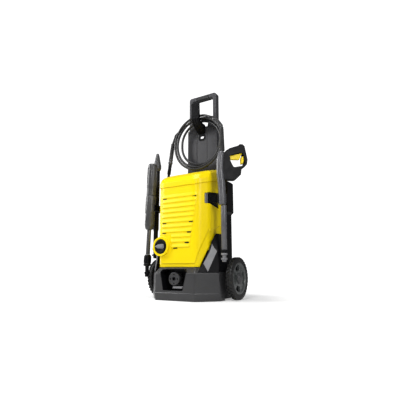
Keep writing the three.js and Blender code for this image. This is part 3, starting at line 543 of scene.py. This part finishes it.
RECESS_OUTER = [(-52.8, 37.3), (36.8, 37.3), (53.6, 105.9), (43.8, 117.7), (-55.8, 117.7), (-67.6, 105.9)]
RECESS_INNER = [(-51.8, 38.5), (35.9, 38.5), (52.3, 105.6), (43.2, 116.5), (-55.2, 116.5), (-66.2, 105.5)]
RECESS_BACK = [
    [(-52, 38), (36, 38), (40, 56), (-56, 56)],
    [(-56, 57), (-42, 57), (-42, 117), (-56, 117), (-66.6, 105.8)],
    [(40.4, 57), (52.4, 105.8), (43.5, 117), (40.4, 117)],
]


def make_foot_details():
    # Painted shade: a black lining and back plates inside the recess in the base's front, where the recess
    # is in shade.
    shade_lining = hoop(RECESS_OUTER, RECESS_INNER, -121.5, -70.3, (0, 2))
    for outline in RECESS_BACK:
        slab(outline, -71.6, -70.3, (0, 2), shade_lining)
    piece("recess_shade_lining", shade_lining, BLACK, "housing")


OUTLET_FOOT = mm(-9, 0, 81)
# Centre, half width and half height of the four keyways in the outlet's face; each is a black patch on the
# face, painted shade standing for the hollow of the keyway.
OUTLET_KEYWAY_SHADES = [(-25, 81, 2.2, 4.5), (7, 81, 2.2, 3), (-9, 97.2, 3.5, 1.6), (-9, 64.8, 3.5, 1.6)]
SWITCH_X = -74
SWITCH_Z = 206
SWITCH_FOOT = mm(SWITCH_X, 0, SWITCH_Z)
FORWARD = Vector((0, -1, 0))


def make_outlet():
    body = lathe([
        (0, 61), (14, 61), (14, 84), (20, 84), (20, 98), (24.6, 102.6), (25, 104), (25, 110.4), (24.4, 112),
        (23, 112.8), (20.6, 112.8), (20, 112), (18.6, 112), (18, 112.8), (10.5, 112.8), (10, 112),
        (8.4, 112), (8, 112.8), (7.2, 112.4), (7, 111.6), (7, 98), (0, 98),
    ], OUTLET_FOOT, FORWARD, 56)
    piece("outlet_body", body, BASE, "housing", ["outlet_coupling"])
    # Painted shade: black patches on the outlet's face in place of the keyway holes.
    keyway_shades = bmesh.new()
    for x, z, across, up in OUTLET_KEYWAY_SHADES:
        slab([(x - across, z - up), (x + across, z - up), (x + across, z + up), (x - across, z + up)],
             -113.4, -112, (0, 2), keyway_shades)
    soften(piece("outlet_keyway_shades", keyway_shades, BLACK, "housing"), 0.5 * MM)
    liner = lathe([(5.2, 98.2), (6.8, 98.2), (6.8, 113.2), (6.2, 113.8), (5.4, 113.4), (5.2, 98.2)],
                  OUTLET_FOOT, FORWARD, 32)
    piece("outlet_liner", liner, BLACK, "housing")


def make_knob():
    dial = lathe([
        (0, 79.2), (4, 79.2), (4, 108), (27.2, 108), (28, 108.8), (28, 116), (27.4, 117.6), (25.8, 119),
        (24.8, 119.6), (23.8, 119.6), (23, 118.8), (22, 118.4), (0, 119.2),
    ], SWITCH_FOOT, FORWARD, 72)
    knurls = 30
    for i in range(knurls):
        turn = TAU * i / knurls
        corners = ((27.4, -0.035), (28.8, -0.022), (28.8, 0.022), (27.4, 0.035))
        slab([(SWITCH_X + radius * math.cos(turn + offset), SWITCH_Z + radius * math.sin(turn + offset))
              for radius, offset in corners], -116.6, -109, (0, 2), dial)
    piece("knob_dial", dial, BLACK, "switch", ["switch_knob"])
    rim_line = [(-23, -1.2), (-10, -9), (13, -10.6), (19.5, -6), (19.5, 6), (13, 10.6), (-10, 9), (-23, 1.2)]
    crest_line = [(-20, -0.6), (-9, -4.6), (10, -5.2), (15, -3), (15, 3), (10, 5.2), (-9, 4.6), (-20, 0.6)]
    pointer = bmesh.new()
    low = [pointer.verts.new(mm(SWITCH_X + x, -118.4, SWITCH_Z + z)) for x, z in rim_line]
    high = [pointer.verts.new(mm(SWITCH_X + x, -126, SWITCH_Z + z)) for x, z in crest_line]
    pointer.faces.new(low)
    pointer.faces.new(high)
    for i in range(len(low)):
        j = (i + 1) % len(low)
        pointer.faces.new([low[i], low[j], high[j], high[i]])
    soften(piece("knob_pointer", pointer, PALE, "switch"), 0.9 * MM, 3, 20)


# The slanted front face of each cheek: its inner and outer edge by height.
CHEEK_EDGES = [
    (104, (98, -113), (124, -84)), (186, (119, -68), (146, -44)), (226, (123, -48), (138, -34)),
]
CHEEK_PANEL = [(0.12, 138), (0.97, 108), (0.95, 184), (0.2, 213)]


def cheek_point(share, height, out):
    for (low, a, b), (high, c, d) in zip(CHEEK_EDGES, CHEEK_EDGES[1:]):
        if height <= high:
            break
    t = (height - low) / (high - low)
    inner = Vector(a).lerp(Vector(c), t)
    outer = Vector(b).lerp(Vector(d), t)
    spot = inner.lerp(outer, share)
    along = (outer - inner).normalized()
    rise = Vector(c) - Vector(a)
    normal = Vector((*along, 0)).cross(Vector((*rise, high - low))).normalized()
    return Vector((*spot, height)) + normal * out


def make_cheek_panels():
    across, up = 6, 16
    for side, mirror in (("right", 1), ("left", -1)):
        mesh = bmesh.new()
        faces = []
        for out in (1.1, -0.6):
            grid = []
            for row in range(up + 1):
                b = row / up
                start = Vector(CHEEK_PANEL[0]).lerp(Vector(CHEEK_PANEL[3]), b)
                end = Vector(CHEEK_PANEL[1]).lerp(Vector(CHEEK_PANEL[2]), b)
                line = [cheek_point(*start.lerp(end, column / across), out) for column in range(across + 1)]
                grid.append([mesh.verts.new(mm(point.x * mirror, point.y, point.z)) for point in line])
            faces.append(grid)
            for row in range(up):
                for column in range(across):
                    mesh.faces.new([grid[row][column], grid[row][column + 1], grid[row + 1][column + 1],
                                    grid[row + 1][column]])
        front, back = (edge_loop(grid) for grid in faces)
        for i in range(len(front)):
            j = (i + 1) % len(front)
            mesh.faces.new([front[i], front[j], back[j], back[i]])
        soften(piece(f"cheek_panel_{side}", mesh, PALE, "housing"), 0.6 * MM, 2, 50)


def edge_loop(grid):
    return [*grid[0], *[row[-1] for row in grid[1:-1]], *grid[-1][::-1], *[row[0] for row in grid[-2:0:-1]]]


LOUVRE_BOTTOM = 200
LOUVRE_PITCH = 20
VENT_HALF = 9
VENT_FRONT_Y = -106.2
VENT_BACK_Y = -95
# A slot that reaches past the flat middle is set back by the bend times the square of how far it reaches.
VENT_FLAT_HALF = 60
VENT_BEND = 0.005
# Centre and row of the dark slots at the ends of the louvre rows, as in the CAD cover: the black block in
# each slot is painted shade, standing for the shadow inside the open vent.
VENT_PLACES = [(-64, 10), (75, 10), (-64, 5), (62, 5), (-64, 3), (54, 3), (44, 1), (-9, 0)]


def make_vent_shade_blocks():
    shade_blocks = bmesh.new()
    for x, row in VENT_PLACES:
        z = LOUVRE_BOTTOM + row * LOUVRE_PITCH
        left, right = x - VENT_HALF, x + VENT_HALF
        bend = max(abs(x) + VENT_HALF - VENT_FLAT_HALF, 0) ** 2 * VENT_BEND
        slab([(left, z - 4.4), (right, z - 4.4), (right, z + 0.4), (left, z + 0.4)],
             VENT_FRONT_Y + bend, VENT_BACK_Y, (0, 2), shade_blocks)
    # Painted shade: black blocks set into the vent slots.
    piece("vent_shade_blocks", shade_blocks, BLACK, "housing")


make_vent_shade_blocks()
make_foot_details()
make_outlet()
make_knob()
make_cheek_panels()


# ---------------------------------------------------------------- wheels

LUG_COUNT = 34
LUG_SHARE = 0.6
LUG_SLANT = 0.008
LUG_SECTION = [
    (78.6, 1.2), (81.8, 1.6), (82, 2.6), (82, 8.2), (80.8, 10.2), (76.6, 12.2), (75.4, 11.6), (77, 8),
]


def wheel_point(centre, out, radius, along, turn):
    return centre + mm(out * along, radius * math.cos(turn), radius * math.sin(turn))


def make_tyre(side, out):
    centre = middle(f"tyre_{side}")
    carcass = lathe([
        (62, -12), (65.4, -12), (66.2, -11.2), (69, -11.2), (69.8, -12), (75.4, -11.8), (78, -9.6), (79, -7),
        (79, 7), (78, 9.6), (75.4, 11.8), (69.8, 12), (69, 11.2), (66.2, 11.2), (65.4, 12), (62, 12),
        (62, -12),
    ], centre, (out, 0, 0), 96)
    piece(f"tyre_carcass_{side}", carcass, TYRE, f"wheel_{side}", [f"tyre_{side}"])
    lugs = bmesh.new()
    for i in range(LUG_COUNT):
        for half in (1, -1):
            first = TAU * (i + 0.25 * half) / LUG_COUNT
            ends = []
            for share in (0, LUG_SHARE):
                turn = first + TAU * share / LUG_COUNT
                ends.append([
                    lugs.verts.new(wheel_point(centre, out, radius, half * along, turn + LUG_SLANT * along))
                    for radius, along in LUG_SECTION
                ])
            lugs.faces.new(ends[0])
            lugs.faces.new(ends[1])
            for k in range(len(LUG_SECTION)):
                n = (k + 1) % len(LUG_SECTION)
                lugs.faces.new([ends[0][k], ends[0][n], ends[1][n], ends[1][k]])
    soften(piece(f"tyre_lugs_{side}", lugs, TYRE, f"wheel_{side}"), 0.5 * MM, 1, 35)


def sector(centre, out, inner, outer, middle_turn, half_turn, near, far, mesh):
    """Raised plate between two radii of a wheel."""
    steps = 10
    loops = []
    for along in (near, far):
        loop = []
        for radius, turns in ((outer, range(steps + 1)), (inner, range(steps, -1, -1))):
            spread = half_turn * (1 if radius == outer else 0.72)
            for step in turns:
                turn = middle_turn + spread * (2 * step / steps - 1)
                loop.append(mesh.verts.new(wheel_point(centre, out, radius, along, turn)))
        mesh.faces.new(loop)
        loops.append(loop)
    for i in range(len(loops[0])):
        j = (i + 1) % len(loops[0])
        mesh.faces.new([loops[0][i], loops[0][j], loops[1][j], loops[1][i]])


def make_rim_details(side, out):
    centre = middle(f"tyre_{side}")
    panels = bmesh.new()
    for turn in (0, math.pi):
        sector(centre, out, 25, 49, turn, math.radians(33), 3.5, 8.6, panels)
    # The dished panels take the darker, green-tinted rim material, a painted shade and reflection.
    soften(piece(f"rim_panels_{side}", panels, RIM_PANEL_SHADE_REFLECTION, f"wheel_{side}"), 1.6 * MM, 3, 40)
    # Painted shade: a black disc behind the rim's windows, so that they read as the shaded inside of the
    # wheel.
    back = lathe([(18, -6.2), (51, -6.2), (51, -5), (18, -5), (18, -6.2)], centre, (out, 0, 0), 56)
    piece(f"rim_window_shade_{side}", back, BLACK, f"wheel_{side}")
    cap = lathe([
        (0, 12.4), (15, 12.4), (17, 10.2), (20.4, 8.6), (21, 9.2), (21, 11.4), (20.2, 12.4), (18.6, 12.8),
        (18, 12.2), (17, 12.6), (15.8, 15), (14.6, 16), (9.4, 16.8), (8.8, 16.2), (7.8, 16.2), (7.2, 17),
        (0, 17.5),
    ], centre, (out, 0, 0), 56)
    piece(f"hub_cover_{side}", cap, CHARCOAL, f"wheel_{side}", [f"hub_cap_{side}"])


for side, out in (("left", -1), ("right", 1)):
    make_tyre(side, out)
    make_rim_details(side, out)


# ---------------------------------------------------------------- lances

VARIO_FOOT = mm(-186, -64, 0)
VARIO_LINE = Vector((0.035992, 0, 0.999352))
JET_FOOT = mm(-178, -15, 0)


def around(place, direction, radius, along, turn):
    """A point on a turned piece, with the same directions as the lathe."""
    spin = UP.rotation_difference(Vector(direction)).to_matrix()
    return place + spin @ mm(radius * math.cos(turn), radius * math.sin(turn), along)


def fins(place, direction, count, half, inner, outer, start, end, mesh, first=0.0):
    """Ribs along a turned piece; half is half a rib's angle in degrees."""
    for i in range(count):
        turn = first + TAU * i / count
        spread = math.radians(half)
        corners = []
        for along in (start, end):
            taper = 0.8 if along == end else 1
            corners.append([
                mesh.verts.new(around(place, direction, radius, along, turn + side * spread * taper))
                for radius, side in ((inner, -1), (outer, -0.6), (outer, 0.6), (inner, 1))
            ])
        mesh.faces.new(corners[0])
        mesh.faces.new(corners[1])
        for k in range(4):
            n = (k + 1) % 4
            mesh.faces.new([corners[0][k], corners[0][n], corners[1][n], corners[1][k]])
    return mesh


def oval_ridges(place, direction, radius, start, end, half, count, first, mesh):
    """Raised ovals wrapped round a grip."""
    steps = 28
    centre, reach = (start + end) / 2, (end - start) / 2
    for i in range(count):
        turn = first + TAU * i / count
        loop = []
        for k in range(steps):
            a = TAU * k / steps
            swing = math.copysign(abs(math.cos(a)) ** 0.6, math.cos(a))
            rise = math.copysign(abs(math.sin(a)) ** 0.8, math.sin(a))
            loop.append((turn + math.radians(half) * swing, centre + reach * rise))
        rings = []
        for spread, lift in ((1.0, -0.6), (1.0, 0.5), (0.88, 1.1), (0.76, 0.5), (0.76, -0.6)):
            shorter = 0.3 + 0.7 * spread
            rings.append([
                mesh.verts.new(around(place, direction, radius + lift, centre + (along - centre) * shorter,
                                      turn + (a - turn) * spread))
                for a, along in loop
            ])
        for lower, upper in zip(rings, [*rings[1:], rings[0]]):
            for k in range(steps):
                n = (k + 1) % steps
                mesh.faces.new([lower[k], lower[n], upper[n], upper[k]])
    return mesh


def make_vario_lance():
    def turned(profile):
        return lathe(profile, VARIO_FOOT, VARIO_LINE, 48)

    coupling = turned([
        (0, 86), (6.2, 86), (7.4, 87), (8, 88.6), (8, 97), (9, 98.2), (10.4, 99.6), (10.4, 105),
        (8.6, 106.6), (7.4, 107.8), (7.4, 110.2), (8.2, 111), (8.2, 114), (7.4, 115), (7.4, 118),
        (8.2, 119), (8.2, 129),
        (12, 130.2), (15.4, 131.8), (16, 133.2), (16, 138.8), (15, 140.6), (13.4, 142.2), (13.4, 149.4),
        (14.2, 151), (14.9, 166), (15, 170), (13.6, 174), (11.2, 177.8), (0, 177.8),
    ])
    fins(VARIO_FOOT, VARIO_LINE, 2, 22, 7, 13.2, 98.6, 104.8, coupling, -0.7)
    fins(VARIO_FOOT, VARIO_LINE, 10, 7, 13, 15.8, 143, 171, coupling)
    piece("vario_bayonet", coupling, BLACK, "vario_lance", ["vario_coupling"])
    tube_mesh = turned([(0, 178.4), (8.6, 178.4), (9, 179.4), (9, 282.4), (8.7, 283.4), (0, 283.4)])
    piece("vario_pipe", tube_mesh, CHARCOAL, "vario_lance", ["vario_tube"])
    grip = turned([
        (0, 284), (13.6, 284), (15, 284.8), (16.4, 287), (17.4, 291), (18.2, 293), (19.2, 294), (19.6, 296),
        (19.6, 350), (20.4, 353), (22, 356), (22.4, 359), (22.4, 361.4), (21.8, 362), (21.8, 363.4),
        (22.4, 364), (22.4, 388.6), (21.8, 389.2), (21.8, 390.6), (22.4, 391.2), (22.4, 423.6), (21.8, 427),
        (20.6, 429.4), (0, 429.4),
    ])
    oval_ridges(VARIO_FOOT, VARIO_LINE, 19.6, 300, 346, 26, 4, math.radians(-32), grip)
    piece("vario_sleeve", grip, CHARCOAL, "vario_lance", ["vario_grip"])
    head = turned([
        (0, 430), (19, 430), (20.2, 431), (20.4, 432.4), (20.4, 447), (19.7, 447.8), (19.7, 449.4),
        (20.4, 450.2), (20.4, 464), (21, 468), (21.4, 472), (21.5, 480), (20.4, 560), (19.6, 567),
        (18, 571.6), (16, 573.8), (13.4, 574), (12.6, 572.8), (12, 561), (4.5, 559), (4, 552), (0, 552),
    ])
    fins(VARIO_FOOT, VARIO_LINE, 8, 9, 19, 22.3, 484, 556, head, 0.2)
    piece("vario_head_shell", head, CHARCOAL, "vario_head", ["vario_nozzle_head"])


def make_jet_lance():
    def turned(profile):
        return lathe(profile, JET_FOOT, UP, 40)

    coupling = turned([
        (0, 163), (7.6, 163), (9, 164.6), (9, 172), (10.6, 173), (12, 174.4), (12, 179.4), (10.4, 181.4),
        (8.4, 182.4), (8.4, 186), (9, 187), (9, 195.6), (11.6, 198.2), (12.5, 200.4), (12.5, 209.4),
        (12, 209.9), (0, 209.9),
    ])
    fins(JET_FOOT, UP, 2, 20, 8, 14.2, 174, 179.6, coupling, 0.5)
    piece("jet_bayonet", coupling, BLACK, "jet_lance", ["jet_coupling"])
    tube_mesh = turned([
        (0, 210.4), (9.6, 210.4), (10, 211.2), (10, 279), (11, 285), (12.3, 289), (12.5, 292), (12.5, 539),
        (11.8, 539.8), (11.8, 541.4), (12.5, 542.2), (12.5, 552.8), (12.2, 553.9), (0, 553.9),
    ])
    piece("jet_pipe", tube_mesh, BLACK, "jet_lance", ["jet_tube"])
    cone = turned([
        (0, 554.4), (12, 554.4), (14, 558.4), (16.4, 563), (17, 566), (17, 582), (15.9, 588), (13, 604),
        (10, 621), (7, 634), (6, 637), (4.6, 638.8), (3.4, 639), (3, 638), (2.6, 630), (0, 630),
    ])
    fins(JET_FOOT, UP, 10, 7, 16, 18, 566, 584, cone)
    piece("jet_nozzle_shell", cone, CHARCOAL, "jet_head", ["jet_cone"])


make_vario_lance()
make_jet_lance()


# ---------------------------------------------------------------- spray gun

GUN_FOOT = mm(176.3, -48.7, 0)
GUN_SIDE = Vector((math.sqrt(0.5), math.sqrt(0.5), 0))
GUN_SPINE = [(-6, 361.5), (-6, 380), (-6, 400), (-8, 445), (-13, 500), (-11, 545), (-6.8, 571), (-6, 577.6)]
GUN_RADII = [13.9, 14.4, 14.5, 14.9, 15, 14.8, 12.5, 9]


def make_gun():
    bayonet = lathe([
        (0, 144), (6.6, 144), (7.8, 145), (8, 146), (8, 150), (10, 151), (12, 152.6), (12, 157.4),
        (10.4, 159), (8.2, 160), (7.4, 161), (7.4, 164), (8.2, 165), (8.2, 168), (10.6, 169), (12, 170.4),
        (12, 175.6), (11.4, 176.6), (0, 176.6),
    ], GUN_FOOT, UP, 40)
    fins(GUN_FOOT, UP, 2, 20, 8, 14, 152.4, 157.6, bayonet, -0.9)
    piece("gun_coupling", bayonet, PALE, "housing", ["gun_bayonet"])
    collar = lathe([
        (0, 177), (10.6, 177), (11.4, 178), (11.4, 188.4), (10.6, 189.4), (0, 189.4),
    ], GUN_FOOT, UP, 40)
    fins(GUN_FOOT, UP, 12, 6, 11, 12, 178.4, 188, collar)
    piece("gun_barrel_collar", collar, BLACK, "housing")
    barrel = lathe([
        (0, 189.8), (10.4, 189.8), (11, 190.8), (11, 357.6), (10.6, 359.4), (0, 359.4),
    ], GUN_FOOT, UP, 48)
    piece("gun_barrel_tube", barrel, GUN_GREY, "housing", ["gun_barrel"])
    stops = [GUN_FOOT + GUN_SIDE * g * MM + UP * z * MM for g, z in GUN_SPINE]
    steps = 6
    route = smooth_route(stops, steps)
    radii = []
    for i in range(len(route)):
        k = min(i // steps, len(GUN_RADII) - 2)
        share = i / steps - k
        radii.append(GUN_RADII[k] + (GUN_RADII[k + 1] - GUN_RADII[k]) * share)
    body = tube(route, radii, 40, GUN_SIDE)
    soften(piece("gun_body_shell", body, GUN_GREY, "housing", ["gun_body"], 60), 1.5 * MM, 3, 60)


make_gun()


# ---------------------------------------------------------------- tower, hook and handle

WINDOW_Z = 717


def window_oval(wide, tall):
    """Outline of a rounded square round the middle of the tower's window."""
    circle = arc((0, 0), 1, 0, 360, 40)[:-1]
    squared = [[math.copysign(abs(value) ** 0.55, value) for value in point] for point in circle]
    return [(wide * x, WINDOW_Z + tall * z) for x, z in squared]


def make_tower_details():
    hole = window_oval(10, 6.5)
    bezel = hoop(window_oval(17.5, 15.5), hole, 83.4, 85.7, (0, 2))
    hoop(window_oval(14.5, 12.5), hole, 85.9, 92, (0, 2), bezel)
    soften(piece("tower_window_bezel", bezel, BLACK, "housing"), 0.6 * MM, 2, 35)
    ribs = bmesh.new()
    for x in (-12, 0, 12):
        slab([(84.6, 736), (54, 750), (31, 766), (18.4, 786.5), (17.8, 783), (30, 762), (54, 745.6),
              (84.6, 732.4)], x - 1.4, x + 1.4, (1, 2), ribs)
    soften(piece("hook_ribs", ribs, BLACK, "housing"), 0.5 * MM, 2, 30)
    grip_ribs = bmesh.new()
    for i in range(15):
        x = -31.5 + i * 4.4
        slab([(89.2, 912), (90.2, 912), (90.2, 926), (89.2, 926)], x, x + 2, (1, 2), grip_ribs)
        slab([(92, 909.2), (116, 909.2), (116, 910.2), (92, 910.2)], x, x + 2, (1, 2), grip_ribs)
    piece("grip_ribs", grip_ribs, SOFT_GRIP, "handle")


def make_rear_details():
    vents = bmesh.new()
    for i in range(9):
        z = 310 + i * 11
        slab([(125.2, z), (126.6, z + 1), (126.6, z + 3.4), (125.2, z + 5)], -70, 70, (1, 2), vents)
    piece("rear_vent_ribs", vents, BLACK, "housing")
    screws = bmesh.new()
    for x, z in ((-104, 170), (104, 170), (-104, 330), (104, 330)):
        lathe([(0, 125), (4.6, 125), (4.6, 126.2), (4, 126.9), (1.9, 127.1), (1.9, 125.9), (0, 125.9)],
              mm(x, 0, z), (0, 1, 0), 24, screws)
    piece("rear_screws", screws, STEEL_Z, "housing")
    gland = lathe([(0, 112), (8, 112), (8, 125.8), (11.4, 126.2), (12, 127), (12, 129.4), (11, 130.4),
                   *ribbed(131, 144, 4, (6.8, 6), (8.6, 6.9)), (6.4, 146), (4, 146), (3.6, 140), (0, 140)],
                  mm(-60, 0, 190), (0, 1, 0), 32)
    piece("cord_gland_boot", gland, SOFT_GRIP, "housing", ["power_cord_gland"])


make_tower_details()
make_rear_details()


# ---------------------------------------------------------------- light and floor

def area_light(name, place, target, width, height, power):
    data = bpy.data.lights.new(name, "AREA")
    data.shape = "RECTANGLE"
    data.size = width
    data.size_y = height
    data.energy = power
    light = bpy.data.objects.new(name, data)
    bpy.context.scene.collection.objects.link(light)
    light.location = place
    light.rotation_euler = (Vector(target) - Vector(place)).to_track_quat("-Z", "Y").to_euler()


FLOOR_HALF = 30
FLOOR_GLOW_NEAR = 0.32
FLOOR_GLOW_FAR = 1.2
FLOOR_GLOW_FROM = 0.3
FLOOR_GLOW_TO = 0.8


def make_floor():
    mesh = bmesh.new()
    bmesh.ops.create_grid(mesh, x_segments=1, y_segments=1, size=FLOOR_HALF)
    data = bpy.data.meshes.new("floor")
    mesh.to_mesh(data)
    mesh.free()
    floor = bpy.data.objects.new("floor", data)
    bpy.context.scene.collection.objects.link(floor)
    floor.location.z = -0.0005
    material, nodes, links, surface, place = shader("floor", "floor", (0.8, 0.8, 0.8), 0.7)
    between(nodes, links, noise_map(nodes, links, place, 3), (0.79, 0.79, 0.79), (0.81, 0.81, 0.81),
            surface.inputs["Base Color"])
    surface.inputs["Specular IOR Level"].default_value = 0.1
    surface.inputs["Emission Color"].default_value = (1, 1, 1, 1)
    # The glow is in the picture only: it keeps the ground white without lighting the object from below.
    reach = nodes.new("ShaderNodeVectorMath")
    reach.operation = "LENGTH"
    links.new(place, reach.inputs[0])
    seen = nodes.new("ShaderNodeMath")
    seen.operation = "MULTIPLY"
    between(nodes, links, reach.outputs["Value"], FLOOR_GLOW_NEAR, FLOOR_GLOW_FAR, seen.inputs[0],
            FLOOR_GLOW_FROM, FLOOR_GLOW_TO)
    links.new(nodes.new("ShaderNodeLightPath").outputs["Is Camera Ray"], seen.inputs[1])
    links.new(seen.outputs["Value"], surface.inputs["Emission Strength"])
    data.materials.append(material)


BACKDROP_STRENGTH = 1.2
FILL_STRENGTH = 0.14


def make_world():
    """White behind the object in the picture, with only a weak fill for the object itself."""
    world = bpy.data.worlds.new("studio")
    bpy.context.scene.world = world
    world.use_nodes = True
    nodes, links = world.node_tree.nodes, world.node_tree.links
    backdrop = nodes["Background"]
    backdrop.inputs["Color"].default_value = (1, 1, 1, 1)
    backdrop.inputs["Strength"].default_value = BACKDROP_STRENGTH
    fill = nodes.new("ShaderNodeBackground")
    fill.inputs["Color"].default_value = (1, 1, 1, 1)
    fill.inputs["Strength"].default_value = FILL_STRENGTH
    path = nodes.new("ShaderNodeLightPath")
    mix = nodes.new("ShaderNodeMixShader")
    links.new(path.outputs["Is Camera Ray"], mix.inputs["Fac"])
    links.new(fill.outputs["Background"], mix.inputs[1])
    links.new(backdrop.outputs["Background"], mix.inputs[2])
    links.new(mix.outputs["Shader"], nodes["World Output"].inputs["Surface"])


# Name, place, aim, width, height (all in metres) and power in watts of each soft light.
SOFT_LIGHTS = [
    ("left_softbox", (-2.1, -1.4, 1.5), (0, 0, 0.45), 0.8, 1.3, 40),
    ("front_right_strip", (0.5, -2.0, 1.65), (0, 0, 0.5), 0.24, 1.5, 15),
    ("overhead", (0.0, -0.9, 2.4), (0, 0, 0.4), 1.2, 0.8, 24),
    ("right_softbox", (2.2, -1.3, 1.3), (0, 0, 0.4), 0.5, 1.3, 22),
    ("left_rim_strip", (-1.9, 0.1, 0.8), (0, 0, 0.45), 0.3, 1.7, 14),
]


def make_lights():
    for light in SOFT_LIGHTS:
        area_light(*light)


make_floor()
make_world()
make_lights()
bpy.context.scene.view_settings.view_transform = "Standard"

bpy.context.view_layer.update()
